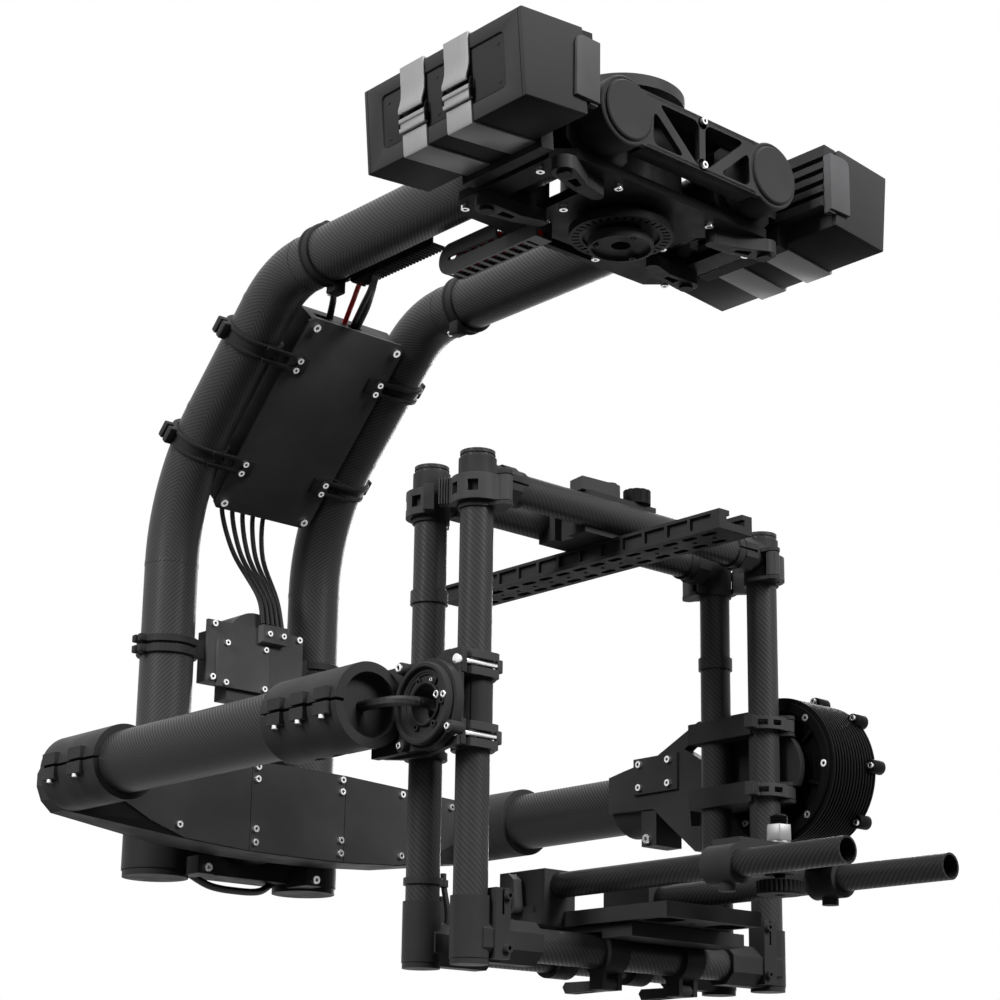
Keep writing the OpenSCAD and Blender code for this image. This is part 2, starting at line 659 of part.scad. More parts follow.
module yoke_cables() {
  esc_low = diag(-esc_len / 2 + 6, 11.5);
  esc_top = diag(esc_len / 2 - 6, 11.5);
  color("#101011") hung() {
    for (i = [0:4]) {
      x = -30 + i * 12;
      end = 4 + i * 5.5;
      curve_cable([[x, esc_low[0], esc_low[1]], [x - 4, esc_low[0] + 30, esc_low[1] - 30],
        [end - 8, connector_y - 12, connector_z[1] + 62], [end, connector_y - 4, connector_z[1] + 4.4]],
          cable_r);
    }
    curve_cable([[-34, esc_top[0], esc_top[1]], [-38, esc_top[0] - 22, esc_top[1] + 22],
      [-50, tray_y[1] + 10, yoke_top_z - 16], [-50, tray_y[1] - 20, yoke_top_z - 18.6]], cable_r);
    loop_end = yoke_half_w - 34;
    curve_cable([[-loop_end, roll_motor_front + 14, yoke_foot_z + 3],
      [-20, roll_motor_front + 4, yoke_foot_z - 12], [20, roll_motor_front + 4, yoke_foot_z - 12],
      [loop_end, roll_motor_front + 14, yoke_foot_z + 3]], 3.4);
  }
  color("#b01c1c") hung() for (i = [0:1])
    curve_cable([[1 + 6 * i, esc_top[0], esc_top[1]], [5 + 6 * i, esc_top[0] - 26, esc_top[1] + 26],
      [-40 - 4 * i, tray_y[1] + 24, yoke_top_z - 14], [-43 - 1.3 * i, tray_y[1] - 14,
        yoke_top_z - 18.6 + 5.4 * i]], cable_r);
}
module foot_bracket() {
  color("#1c1c1e") hung() {
    difference() {
      union() {
        for (x = [-yoke_half_w, yoke_half_w]) {
          zrod(yoke_r + 6, yoke_foot_z, yoke_foot_z + 42, x, yoke_back_y);
          block(x > 0 ? x - 32 : x + 14, x > 0 ? x - 14 : x + 32, roll_motor_front + 1, yoke_back_y - 16,
            yoke_foot_z - 4, yoke_foot_z + 12);
        }
        block(-yoke_half_w + 22, yoke_half_w - 22, yoke_back_y - 18, yoke_back_y + 18, yoke_foot_z,
          yoke_foot_z + 26);
      }
      for (x = [-yoke_half_w, yoke_half_w])
        zrod(yoke_r + grip_gap, yoke_foot_z - 5, yoke_foot_z + 43, x, yoke_back_y);
      yrod(roll_motor_r + grip_gap, roll_motor_front - 1, roll_motor_back + 1);
    }
    for (x = [-yoke_half_w, yoke_half_w]) zrod(yoke_r + 5, yoke_foot_z - 6, yoke_foot_z, x, yoke_back_y);
  }
}
module roll_motor() {
  color("#18181a") hung() difference() {
    union() {
      yrod(roll_motor_r, roll_motor_front, roll_motor_back);
      block(-yoke_half_w + yoke_r + 0.2, yoke_half_w - yoke_r - 0.2, yoke_back_y - 12, yoke_back_y + 12,
        -16, 16);
    }
    yrod(roll_shaft_r + run_fit, roll_motor_front - 1, roll_motor_front + 50);
  }
}
module yoke_screws() {
  color("#c8c8ca") hung() {
    on_diagonal() {
      for (x = [-esc_screw_x, esc_screw_x]) for (y = [-esc_len / 2 + 8, esc_len / 2 - 8])
        socket_head(7.5, [x, y, esc_face]);
      for (x = [-esc_screw_x, esc_screw_x]) for (c = [-1, 1]) for (y = [-clip_screw, clip_screw])
        socket_head(6, [x, c * esc_clip_pitch / 2 + y, esc_face + 2.6]);
    }
    for (z = [-19, 19]) socket_head(6, [0, truss_front, yoke_top_z + z], FRONT);
    for (x = [-49, 49]) for (z = [connector_z[0] + 4, connector_z[1] - 4])
      socket_head(6, [x, connector_y, z], FRONT);
    for (p = [[-36, 0], [8, 0], [-36, 38], [8, 38]])
      socket_head(5.5, [p[0], connector_y - 3.5, connector_z[0] + p[1]], FRONT);
    for (p = [[8, -9], [24, -9]]) socket_head(5.5, [p[0], connector_y - 9, connector_z[1] + p[1] + 3],
      FRONT);
    for (x = [-yoke_half_w + 23, yoke_half_w - 23]) socket_head(7.5, [x, roll_motor_front + 1,
      yoke_foot_z + 1.5], FRONT);
    for (x = [-yoke_half_w + 12, yoke_half_w - 12]) socket_head(6, [x, bend_a[0] - 16,
      yoke_top_z - yoke_r - 4.5], FRONT);
  }
}

// Roll stage
// The lower edge rises towards the ends on the front face; the back reaches out behind the arms
function roll_top(w, t) = [[0, 32 - t], [w * 0.28, 31 - t], [w * 0.64, 26 - t], [w - 2 * t, 24 - t]];
function roll_low(w, t, rise) = [[w - 2 * t, -34 + t + rise], [w * 0.8, -39 + t + rise * 0.25],
  [w * 0.62, -46 + t],
  [w * 0.28, -50 + t], [0, -50.5 + t]];
roll_end = [[arm_half_w + 2, 20], [arm_half_w + 14, 12], [arm_half_w + 19, 1], [arm_half_w + 19, -10],
  [arm_half_w + 14, -22], [arm_half_w + 4, -31]];
function mirrored(half) = concat(half, [for (i = [len(half) - 2:-1:1]) [-half[i][0], half[i][1]]]);
module roll_front_2d(t) { polygon(mirrored(concat(roll_top(roll_half_w, t), roll_low(roll_half_w, t,
  18)))); }
module roll_back_2d() { polygon(mirrored(concat(roll_top(roll_half_w, 0), roll_end, roll_low(roll_half_w,
  0, 0)))); }
module roll_box() {
  ear = [socket_front + 16, socket_back - 28];
  color("#1f1f21") hung() {
    difference() {
      union() {
        hull() {
          along_y(roll_box_front, roll_box_front + 1) roll_front_2d(0);
          along_y(roll_box_front + 24, roll_box_back) roll_back_2d();
        }
        sides() {
          yrod(socket_r, socket_front, socket_back, arm_half_w);
          for (y = ear) block(arm_half_w + socket_r - 7, arm_half_w + socket_r + 3, y, y + 20, -11, 11);
        }
      }
      along_y(roll_box_front - e, roll_box_back - roll_wall) roll_front_2d(roll_wall);
      sides() {
        yrod(arm_r + grip_gap, socket_front - 1, arm_back, arm_half_w);
        block(arm_half_w + arm_r - 2, arm_half_w + socket_r + 10, socket_front - 1, socket_back - 6,
          -1.2, 1.2);
      }
    }
    // Ribs behind the seams of the covers
    for (x = [-roll_half_w * 0.27, roll_half_w * 0.27])
      block(x - 2.5, x + 2.5, roll_box_front, roll_box_back - roll_wall + e, -44, 27.5);
  }
}
module roll_covers() {
  seam = roll_half_w * 0.27;
  color("#232325") hung() along_y(roll_front_y, roll_box_front) for (x = [[-seam + 0.3, seam - 0.3],
    [seam + 0.3, roll_half_w - 6], [-roll_half_w + 6, -seam - 0.3]])
    intersection() {
      roll_front_2d(0.6);
      translate([x[0], -60]) square([x[1] - x[0], 120]);
    }
}
module arm_tube(x, front) {
  difference() {
    yrod(arm_r, front, arm_back, x);
    yrod(arm_r - arm_wall, front - 1, arm_back + 1, x);
  }
}
module near_arm_tube() { color("#2b2b2d") hung() arm_tube(-arm_half_w, arm_front_near); }
module far_arm_tube() { color("#2b2b2d") hung() arm_tube(arm_half_w, arm_front_far); }
hub_wire_r = 4;
module near_arm_fitting() {
  color("#1c1c1e") hung() difference() {
    union() {
      yrod(socket_r, fit_front_near, fit_back_near, -arm_half_w);
      for (y = [fit_front_near + 6, fit_front_near + 34, fit_front_near + 62])
        block(-arm_half_w - socket_r - 3.6, -arm_half_w - socket_r + 7, y, y + 16, -10, 10);
      block(-hub_out, -hub_in, -5, 62, -hub_shell_r + 1, hub_shell_r - 1);
      xrod(hub_shell_r, -hub_out, -hub_in);
    }
    xrod(hub_r, -hub_out - 1, -hub_in + 1);
    yrod(arm_r + grip_gap, arm_front_near, fit_back_near + 1, -arm_half_w);
    yrod(arm_r - 2, fit_front_near - 1, arm_front_near - 4, -arm_half_w);
    yrod(hub_wire_r, fit_front_near, fit_back_near, -arm_half_w);
    block(-arm_half_w - socket_r - 10, -arm_half_w - arm_r + 2, fit_front_near - 1, fit_back_near + 1,
      -1.2, 1.2);
    for (y = [70, 92]) translate([-arm_half_w + 8, y, -socket_r - 4]) sphere(9);
  }
}
fan_x = [motor_in + 10, motor_in + 22];
module far_arm_fitting() {
  color("#1c1c1e") hung() difference() {
    union() {
      yrod(socket_r, fit_front_far, fit_back_far, arm_half_w);
      along_x(fan_x[0], fan_x[1]) polygon([[fit_back_far, 20], [fit_back_far, -12], [150, -14], [100,
        -56], [30, -54],
        [20, 0], [30, 56], [95, 56], [150, 30], [185, 24]]);
      block(fan_x[0] - 3, fan_x[0] + e, 118, 171, 0, 32);
      block(fan_x[0] + 2, arm_half_w, 148, 166, -socket_r - 14, -12);
      block(arm_half_w + arm_r, arm_half_w + socket_r + 9, 80, 96, -9, 9);
      block(arm_half_w + arm_r, arm_half_w + socket_r + 9, 170, 186, -9, 9);
    }
    along_x(fan_x[0] - 1, fan_x[1] + 1) polygon([[72, -12], [106, -14], [104, -34], [74, -36]]);
    along_x(fan_x[0] - 1, fan_x[1] + 1) polygon([[74, 36], [98, 42], [112, 34], [74, 12]]);
    xrod(tilt_motor_r + grip_gap, fan_x[0] - 4, motor_out + 1);
    yrod(arm_r + grip_gap, arm_front_far, fit_back_far + 1, arm_half_w);
    block(arm_half_w + arm_r - 2, arm_half_w + socket_r + 10, fit_front_far - 1, fit_back_far + 1, -1.2,
      1.2);
  }
}
lug_turns = [95, 137, 178, 222, 265];
face_turns = [50, 130, 180, 230, 310];
module tilt_motor() {
  body = tilt_motor_r - 4;
  color("#161618") hung() difference() {
    union() {
      xrod(body, motor_in, motor_out);
      for (i = [0:fin_count - 1]) {
        x = motor_in + 3 + i * fin_len / fin_count;
        xrod(tilt_motor_r, x, x + fin_len / fin_count * 0.55);
      }
      for (a = lug_turns) rotate([a, 0, 0])
        xrod(6.5, motor_out - 14, motor_out, tilt_motor_r + 1);
    }
    xrod(rotor_r + run_fit, motor_in - 1, motor_in + 28);
    for (a = face_turns) rotate([a, 0, 0]) xrod(3.4, motor_in - 1, motor_in + 3.5, tilt_motor_r - 9);
  }
}
module roll_shaft() {
  color("#8a8a8e") hung() {
    yrod(roll_shaft_r, roll_box_back, roll_motor_front + 49);
    yrod(30, roll_box_back, roll_motor_front - body_gap);
  }
}
module hub_cable() {
  color("#101011") hung() curve_cable([[-arm_half_w, arm_front_near + 8, 0], [-arm_half_w, 2, 1],
    [-arm_half_w + 14, -3, 1], [-hub_out + 8, 0, 0]], hub_wire_r - 0.05, 18);
}
module roll_screws() {
  seam = roll_half_w * 0.27 - 5;
  color("#c8c8ca") hung() {
    for (x = [-seam, seam]) for (z = [26, 15, -30, -42]) socket_head(6, [x, roll_front_y, z], FRONT);
    for (p = [[-128, -35], [119, 21], [119, -37], [-128, 20], [-180, 16], [180, 16]])
      socket_head(6, [p[0], roll_front_y, p[1]], FRONT);
    sides() for (y = [socket_front + 26, socket_back - 18]) socket_head(5, [arm_half_w + socket_r + 0.4,
      y, -11], DOWN);
    for (y = [fit_front_near + 14, fit_front_near + 42, fit_front_near + 70])
      socket_head(5, [-arm_half_w - socket_r - 1, y, -10], DOWN);
    for (p = [[162.6, 26.3], [162.6, 5.8], [127, 26.5], [127.2, 5.9]])
      socket_head(6, [fan_x[0] - 3, p[0], p[1]], NEAR);
    socket_head(8, [fan_x[0] + 2, 157, -socket_r - 8], NEAR);
    for (a = lug_turns) rotate([a, 0, 0]) socket_head(5, [motor_out - 14, tilt_motor_r + 3.5, 0], NEAR);
    for (a = face_turns) rotate([a, 0, 0]) socket_head(6, [motor_in + 3.5, tilt_motor_r - 9, 0], NEAR);
    for (y = [88, 178]) socket_head(7, [arm_half_w + socket_r + 4, y, -9], DOWN);
  }
}

// Tilt stage, drawn on the far side
lever_pin = [cage_r + 2.5, -cage_r];
pin_r = 2.5;
fork_t = 3;
stage_z = [stage_up_z, -stage_down_z];
function lever_h(h) = h - 2 * fork_t - 2 * body_gap;
// The hinge side of a lever clamp: two plates with a pin, round a tube at the origin
module fork(z, h, p, root) {
  for (s = [0, h - fork_t]) translate([0, 0, z - h / 2 + s]) linear_extrude(fork_t) {
    translate(p) circle(6);
    polygon(root);
  }
  zrod(pin_r, z - h / 2, z + h / 2, p[0], p[1]);
}
// A band lever round a tube at the origin, from angle a to angle b
module band_lever(z, h, p, a, b, inner) {
  turn = b - a;
  color("#2c2c2e") translate([0, 0, z - h / 2]) difference() {
    union() {
      rotate(a) rotate_extrude(angle = turn) translate([inner, 0]) square([4, h]);
      zrod(5.5, 0.2, h - 0.2, p[0], p[1]);
      translate([0, 0, 0.4]) linear_extrude(h - 0.8) polygon([[p[0] - 4, p[1] + 1], [p[0] + 3, p[1] - 5],
        (inner + 3.2) * [cos(b - 22), sin(b - 22)], (inner + 1.2) * [cos(b - 14), sin(b - 14)]]);
      rotate(a) block(inner + 0.5, inner + 13, -3, 5, 0, h);
    }
    zrod(pin_r + run_fit, -1, h + 1, p[0], p[1]);
    for (d = [0.22, 0.55]) rotate(a + turn * d) block(inner - 1, inner + 6, -4, 4, h * 0.28, h * 0.72);
    for (i = [0:3]) rotate(a) block(inner + 5 + 2 * i, inner + 6 + 2 * i, 4, 6, -1, h + 1);
  }
}
module stage_side(plate_in) {
  difference() {
    union() {
      for (z = stage_z) {
        block(stage_in, stage_out, cage_front_y, cage_rear_y + cage_r + 4, z - clamp_h / 2,
          z + clamp_h / 2);
        translate([cage_half_w, cage_front_y, 0]) fork(z, clamp_h, lever_pin,
          [[-4, -0.5], [lever_pin[0] - 5, lever_pin[1] - 3], lever_pin + [5.9, 0],
            [stage_out - cage_half_w, 2], [0, 2]]);
      }
      block(plate_in, stage_out, cage_front_y - 10, cage_rear_y + cage_r + 4,
        -stage_down_z - clamp_h / 2, stage_up_z + clamp_h / 2);
    }
    for (y = [cage_front_y, cage_rear_y]) zrod(cage_r + run_fit, -150, 150, cage_half_w, y);
    lever_room();
  }
}
module lever_room() {
  for (z = stage_z) translate([cage_half_w, cage_front_y, z - lever_h(clamp_h) / 2 - body_gap])
    difference() {
      translate([-40, -40, 0]) cube([stage_out - 7 - cage_half_w + 40, 40,
        lever_h(clamp_h) + 2 * body_gap]);
      zrod(pin_r, -1, clamp_h, lever_pin[0], lever_pin[1]);
    }
}
module stage_levers() {
  for (z = stage_z) translate([cage_half_w, cage_front_y, 0])
    band_lever(z, lever_h(clamp_h), lever_pin, -166, -50, lever_in_r);
}
module near_stage() {
  color("#29292b") hung() difference() {
    union() {
      mirror([1, 0, 0]) stage_side(stage_out - 7);
      xrod(hub_shell_r, -stage_out, -stage_out + 7);
      xrod(hub_r - run_fit, -hub_out - body_gap, -stage_out + 1);
      xrod(hub_ring_r, -hub_out - body_gap - 3.5, -hub_out - body_gap);
      for (a = [0:60:300]) rotate([a, 0, 0]) socket_head(5, [-hub_out - body_gap - 3.5 + e, 25, 0], NEAR);
    }
    xrod(14, -hub_out - 10, -stage_out + 20);
  }
}
module far_stage() {
  color("#29292b") hung() {
    difference() {
      union() {
        stage_side(far_stage_out - 6);
        difference() {
          xrod(hub_shell_r, far_stage_out - 6, far_stage_out);
          lever_room();
        }
      }
      difference() {
        block(far_stage_out, stage_out + 1, -40, 80, -60, 60);
        block(far_stage_out - 1, stage_out, -40, -tilt_motor_r, -60, 60);
      }
    }
    xrod(rotor_r, far_stage_out - 1, motor_in + 26);
  }
}
module near_stage_levers() { hung() mirror([1, 0, 0]) stage_levers(); }
module far_stage_levers() { hung() stage_levers(); }

// Cage
cage_ys = [cage_front_y, cage_rear_y];
tube_low = cage_bottom_z + 2;
tube_high = cage_top_z - 2;
module cage_tubes() {
  color("#2b2b2d") hung() {
    for (x = [-cage_half_w, cage_half_w]) for (y = cage_ys) {
      difference() {
        union() {
          zrod(cage_r, tube_low, tube_high, x, y);
          zrod(cage_r + 0.8, tube_high, tube_high + 2.7, x, y);
          if (y == cage_rear_y) zrod(grip_r, stop_z, stop_z + stop_h, x, y);
        }
        zrod(cage_r - cage_wall, tube_low - 1, tube_high, x, y);
      }
    }
  }
}
module cage_crossbars() {
  half = cage_half_w - cage_r - 1;
  color("#2b2b2d") hung() for (y = cage_ys) for (z = [top_bar_z, low_bar_z]) difference() {
    xrod(cage_r, -half, half, y, z);
    xrod(cage_r - cage_wall, -half - 1, half + 1, y, z);
  }
}
sleeve_in = cage_half_w - 57;
top_sleeve_in = cage_half_w - 40;
top_pin = [9, -cage_r - 8.4];
top_lever_h = clamp_h + 3;
top_fork_h = top_lever_h + 2 * fork_t + 2 * body_gap;
top_lever_z = top_bar_z - 10;
// One corner of the cage, drawn with the tube at the origin, the crossbar towards -X and the outside at +X
module at_corners() {
  for (m = [0, 1]) mirror([m, 0, 0]) {
    translate([cage_half_w, cage_front_y, 0]) children();
    translate([cage_half_w, cage_rear_y, 0]) mirror([0, 1, 0]) children();
  }
}
module top_corner_clamps() {
  color("#1e1e20") hung() at_corners() difference() {
    union() {
      zrod(grip_r, top_bar_z - 24, top_bar_z + 15);
      xrod(cage_r + 1.7, top_sleeve_in - cage_half_w, 0, 0, top_bar_z);
      translate([top_sleeve_in - cage_half_w + 7, 0, top_bar_z]) rotate([22.5, 0, 0]) rotate([0, 90, 0])
        cylinder(r = cage_r + 3.2, h = 14, $fn = 8);
      mirror([1, 0, 0]) fork(top_lever_z, top_fork_h, top_pin, [[top_pin[0] - 6, top_pin[1]],
        [top_pin[0] + 6, top_pin[1]],
        [cage_r + 8, -3], [0, 0], [-8, -6]]);
    }
    zrod(cage_r + grip_gap, top_bar_z - 30, top_bar_z + 30);
    xrod(cage_r + grip_gap, -cage_half_w, -cage_r - 0.9, 0, top_bar_z);
    block(-cage_half_w, -20, -2 * cage_r, -cage_r + 2, top_bar_z - 1, top_bar_z + 1);
  }
}
module top_lever() {
  mirror([1, 0, 0]) band_lever(top_lever_z, top_lever_h, top_pin, -228, -70, lever_in_r);
}
module cage_lever_near_front() {
  hung() mirror([1, 0, 0]) translate([cage_half_w, cage_front_y, 0]) top_lever();
}
module cage_lever_near_rear() {
  hung() mirror([1, 0, 0]) translate([cage_half_w, cage_rear_y, 0]) mirror([0, 1, 0]) top_lever();
}
module cage_lever_far_front() { hung() translate([cage_half_w, cage_front_y, 0]) top_lever(); }
module cage_lever_far_rear() { hung() translate([cage_half_w, cage_rear_y, 0]) mirror([0, 1, 0])
  top_lever(); }
module bottom_corner_blocks() {
  color("#1e1e20") hung() at_corners() {
    difference() {
      union() {
        zrod(grip_r, cage_bottom_z + 2, cage_bottom_z + foot_h);
        rotate([22.5, 0, 0]) translate([0, low_bar_z * sin(22.5), low_bar_z * cos(22.5)])
          rotate([0, -90, 0]) cylinder(r = 17, h = cage_half_w - sleeve_in, $fn = 8);
        block(-23, -9, -17.5, -1, low_bar_z - 14, low_bar_z + 36);
      }
      zrod(cage_r + grip_gap, cage_bottom_z - 1, low_bar_z + 40);
      xrod(cage_r + grip_gap, -cage_half_w, -cage_r - 0.9, 0, low_bar_z);
      block(-17, -15, -18, 0, low_bar_z + 17, low_bar_z + 37);
    }
    zrod(cage_r + 1.3, cage_bottom_z - 2, cage_bottom_z + 2);
    for (z = [low_bar_z + 30.5, low_bar_z - 6.5]) socket_head(6.5, [-19.5, -17.5, z], FRONT);
  }
  // Cable beside the near rear tube, with its tie
  color("#101011") hung() translate([-cage_half_w, cage_rear_y, 0]) {
    difference() {
      union() {
        zrod(grip_r, low_bar_z + 42, low_bar_z + 47);
        zrod(4, low_bar_z + 42, low_bar_z + 47, cage_r + 4, -3);
      }
      zrod(cage_r + grip_gap, low_bar_z + 40, low_bar_z + 49);
    }
    curve_cable([[cage_r + 4.4, -3, low_bar_z + 52], [cage_r + 4.4, -3, low_bar_z + 34],
      [cage_r + 7, -8, low_bar_z + 30], [cage_r + 6, -6, low_bar_z + 14]], 2.2);
  }
}

// Rail
slot_neck = 4;
module rail_slot(gap) {
  along_y(rail_front_y - 1, rail_front_y + rail_len + 1) translate([0, rail_z + rail_h]) {
    translate([-slot_w / 2 - gap, -slot_d - gap]) square([slot_w + 2 * gap, slot_d + gap + 1]);
    translate([-slot_w / 2 - 3 - gap, -slot_d - gap]) square([slot_w + 6 + 2 * gap,
      slot_d - slot_neck + 2 * gap]);
  }
}
module hexagon_slot(w, l) {
  polygon([[-w / 2, -l / 2 + w / 3], [0, -l / 2], [w / 2, -l / 2 + w / 3], [w / 2, l / 2 - w / 3], [0,
    l / 2],
    [-w / 2, l / 2 - w / 3]]);
}
module top_rail() {
  color("#1b1b1d") hung() difference() {
    block(-rail_w / 2, rail_w / 2, rail_front_y, rail_front_y + rail_len, rail_z, rail_z + rail_h);
    rail_slot(0);
    translate([0, 0, rail_z - 1]) linear_extrude(4) for (i = [0:floor(rail_len / 20) - 2]) {
      y = rail_front_y + 18 + 20 * i;
      translate([-10, y]) hexagon_slot(6, 15);
      translate([10, y + 8]) hexagon_slot(6, 15);
      translate([0, y + 4]) circle(2, $fn = 16);
    }
    for (i = [0:floor(rail_len / 24) - 1]) for (x = [-rail_w / 2 - 1, rail_w / 2 - 3])
      block(x, x + 4, rail_front_y + 9 + 24 * i, rail_front_y + 30 + 24 * i, rail_z + 3,
        rail_z + rail_h - 2.5);
  }
}
carriage_y = [cage_front_y - 4, cage_rear_y + 4];
carriage_z = [rail_z + rail_h, top_bar_z + cage_r + 3.5];
rail_pin = [-14, -2];
knob_at = [13, -5];
knob_r = 11;
module rail_carriage() {
  color("#1d1d1f") hung() {
    difference() {
      union() {
        block(carriage_x[0], carriage_x[1], carriage_y[0], carriage_y[1], carriage_z[0] + body_gap,
          carriage_z[1]);
        intersection() {
          rail_slot(-run_fit);
          block(-20, 20, carriage_y[0], carriage_y[1], rail_z, carriage_z[0] + 0.9);
        }
        zrod(pin_r + 1, carriage_z[1] - 3, carriage_z[1] + 13, rail_pin[0], rail_pin[1]);
        zrod(pin_r + 3, carriage_z[1] + 11.4, carriage_z[1] + 13, rail_pin[0], rail_pin[1]);
      }
      for (y = cage_ys) xrod(cage_r + run_fit, carriage_x[0] - 1, carriage_x[1] + 1, y, top_bar_z);
      for (y = [carriage_y[0] - 1, cage_rear_y]) block(carriage_x[0] - 1, carriage_x[1] + 1, y, y + 5,
        carriage_z[0] - 1, top_bar_z);
      block(carriage_x[0] + 30, carriage_x[1] - 8, cage_front_y + cage_r + 5, cage_rear_y - cage_r - 5,
        carriage_z[0] + 8, carriage_z[1] + 1);
      zrod(stud_r + run_fit, carriage_z[1] - 3, carriage_z[1] + 1, knob_at[0], knob_at[1]);
      for (x = [carriage_x[0] - 1, carriage_x[1] - 7]) block(x, x + 8, 12, 27, carriage_z[0] - 1,
        carriage_z[0] + 22);
    }
  }
}
module rail_lever() {
  color("#b9babd") hung() translate([rail_pin[0], rail_pin[1], carriage_z[1] + body_gap])
    linear_extrude(10.6)
    difference() {
      union() {
        circle(8);
        polygon([[0, 8], [-33, 11], [-36, -6], [0, -8]]);
      }
      circle(pin_r + 1 + run_fit);
      polygon([[-9, 3.5], [-28, 7.5], [-30, -3], [-12, -3.5]]);
    }
}
module rail_knob() {
  color("#161618") hung() difference() {
    union() {
      zrod(knob_r, carriage_z[1] + body_gap, carriage_z[1] + 12, knob_at[0], knob_at[1]);
      zrod(stud_r, carriage_z[1] - 2.6, carriage_z[1] + 1, knob_at[0], knob_at[1]);
    }
    for (a = [0:30:330]) translate([knob_at[0], knob_at[1]]) rotate(a)
      zrod(1.2, carriage_z[1] + 2, carriage_z[1] + 13, knob_r + 0.4);
  }
}

// Camera plate and its slide
cross_ring_x = [cross_x - 40, cross_x + 41];
cross_pin = [cage_front_y - 2, low_bar_z - cage_r - 11];
module cross_slide() {
  color("#1f1f21") hung() difference() {
    union() {
      block(cross_x - cross_half, cross_x + cross_half, -55, 70, cross_top - 5, cross_top);
      block(cross_x - cross_half, cross_x + cross_half, -55, -24, cross_top - 10, cross_top);
      for (y = cage_ys) for (x = cross_ring_x) xrod(cage_r + 4, x - 10, x + 10, y, low_bar_z);
      for (x = cross_ring_x) for (s = [-10, 6]) block(x + s, x + s + 4, cross_pin[0] - 5, cross_pin[0] + 9,
        cross_pin[1] - 4, low_bar_z - cage_r);
      for (x = cross_ring_x) xrod(pin_r, x - 10, x + 10, cross_pin[0], cross_pin[1]);
    }
    for (y = cage_ys) xrod(cage_r + run_fit, cross_x - cross_half - 1, cross_x + cross_half + 1, y,
      low_bar_z);
    block(cross_x - 20, cross_x + 20, -12, 50, cross_top - 6, cross_top + 1);
  }
}
module cross_levers() {
  h = 12 - 2 * body_gap;
  color("#2c2c2e") hung() for (x = cross_ring_x) translate([0, cross_pin[0], cross_pin[1]]) difference() {
    union() {
      xrod(4.4, x - h / 2, x + h / 2);
      along_x(x - h / 2, x + h / 2) polygon([[-1, -4.3], [2, 3], [40, 3.4], [43, 0], [40, -5]]);
    }
    xrod(pin_r + run_fit, x - 10, x + 10);
    along_x(x - 3, x + 3) polygon([[12, -6], [12, 1], [34, 1.4], [34, -7]]);
  }
}
plate_top = plate_z + plate_t;
module camera_plate() {
  color("#222224") hung() difference() {
    union() {
      block(-plate_w / 2, plate_w / 2, plate_front, plate_front + plate_len, plate_z, plate_top);
      block(-rod_half_w - rod_r - 10, rod_half_w + rod_r + 10, bracket_y[0], bracket_y[1], plate_z,
        plate_z + 9);
      for (s = [-1, 1]) block(s * rod_half_w - rod_r - 6, s * rod_half_w + rod_r + 6, bracket_y[0],
        bracket_y[1],
        plate_z, rod_z + rod_r + 2);
      for (y = [bracket_y[0] + 18, bracket_y[1] - 8]) block(-rod_half_w - rod_r - 10, -rod_half_w - rod_r,
        y - 8, y + 8, plate_z, plate_z + 14);
      xrod(pin_r, -rod_half_w - rod_r - 19, -rod_half_w - rod_r, bracket_y[0] + 25, plate_z + 14);
    }
    for (s = [-1, 1]) yrod(rod_r + run_fit, bracket_y[0] - 1, bracket_y[1] + 1, s * rod_half_w, rod_z);
    block(-8, 8, plate_front + 12, bracket_y[0] - 12, plate_top - 3, plate_top + 1);
    for (y = [plate_front + 24:28:bracket_y[0] - 20]) zrod(3.3, plate_z - 1, plate_top + 1, 0, y);
    for (x = [-32, 32]) for (y = [plate_front + 20:36:plate_front + 92]) translate([x, y, plate_z - 1])
      linear_extrude(5) cut_square(26, 26, 5);
    for (x = [-32, 32]) block(x - 9, x + 9, bracket_y[1] + 8, plate_front + plate_len - 8, plate_z - 1,
      plate_top + 1);
  }
}
module lens_rods() {
  color("#2b2b2d") hung() for (s = [-1, 1]) difference() {
    yrod(rod_r, rod_front_y, rod_front_y + rod_len, s * rod_half_w, rod_z);
    yrod(rod_r - rod_wall, rod_front_y - 1, rod_front_y + rod_len + 1, s * rod_half_w, rod_z);
  }
}
support_mid = (support_y[0] + support_y[1]) / 2;
module lens_support() {
  color("#1c1c1e") hung() difference() {
    union() {
      for (s = [-1, 1]) {
        yrod(rod_r + 4.5, support_y[0], support_y[1], s * rod_half_w, rod_z);
        zrod(6, rod_z - rod_r - 9, rod_z - rod_r - 2, s * rod_half_w, support_mid);
      }
      block(-rod_half_w, rod_half_w, support_y[0], support_y[1], rod_z + rod_r, rod_z + rod_r + 9);
      zrod(11, rod_z - 2, rod_z + rod_r + 9, 0, support_mid);
    }
    for (s = [-1, 1]) yrod(rod_r + run_fit, support_y[0] - 1, support_y[1] + 1, s * rod_half_w, rod_z);
    zrod(stud_r + run_fit, rod_z - 10, rod_z + 30, 0, support_mid);
    block(-30, -16, support_y[0] + 6, support_y[1] - 6, rod_z, rod_z + 30);
    block(16, 30, support_y[0] + 6, support_y[1] - 6, rod_z, rod_z + 30);
  }
}
wheel_top = rod_z - 2 - 4;
module thumb_screw() {
  color("#b9babd") hung() {
    zrod(stud_r, wheel_top - 12, rod_z + rod_r + 30, 0, support_mid);
    translate([0, support_mid, wheel_top - 10]) difference() {
      cylinder(r = 17, h = 10);
      for (a = [0:12:348]) rotate(a) translate([17.4, 0, -1]) cylinder(r = 1.3, h = 12, $fn = 12);
    }
    zrod(9, rod_z + rod_r + 15, rod_z + rod_r + 22, 0, support_mid);
  }
}
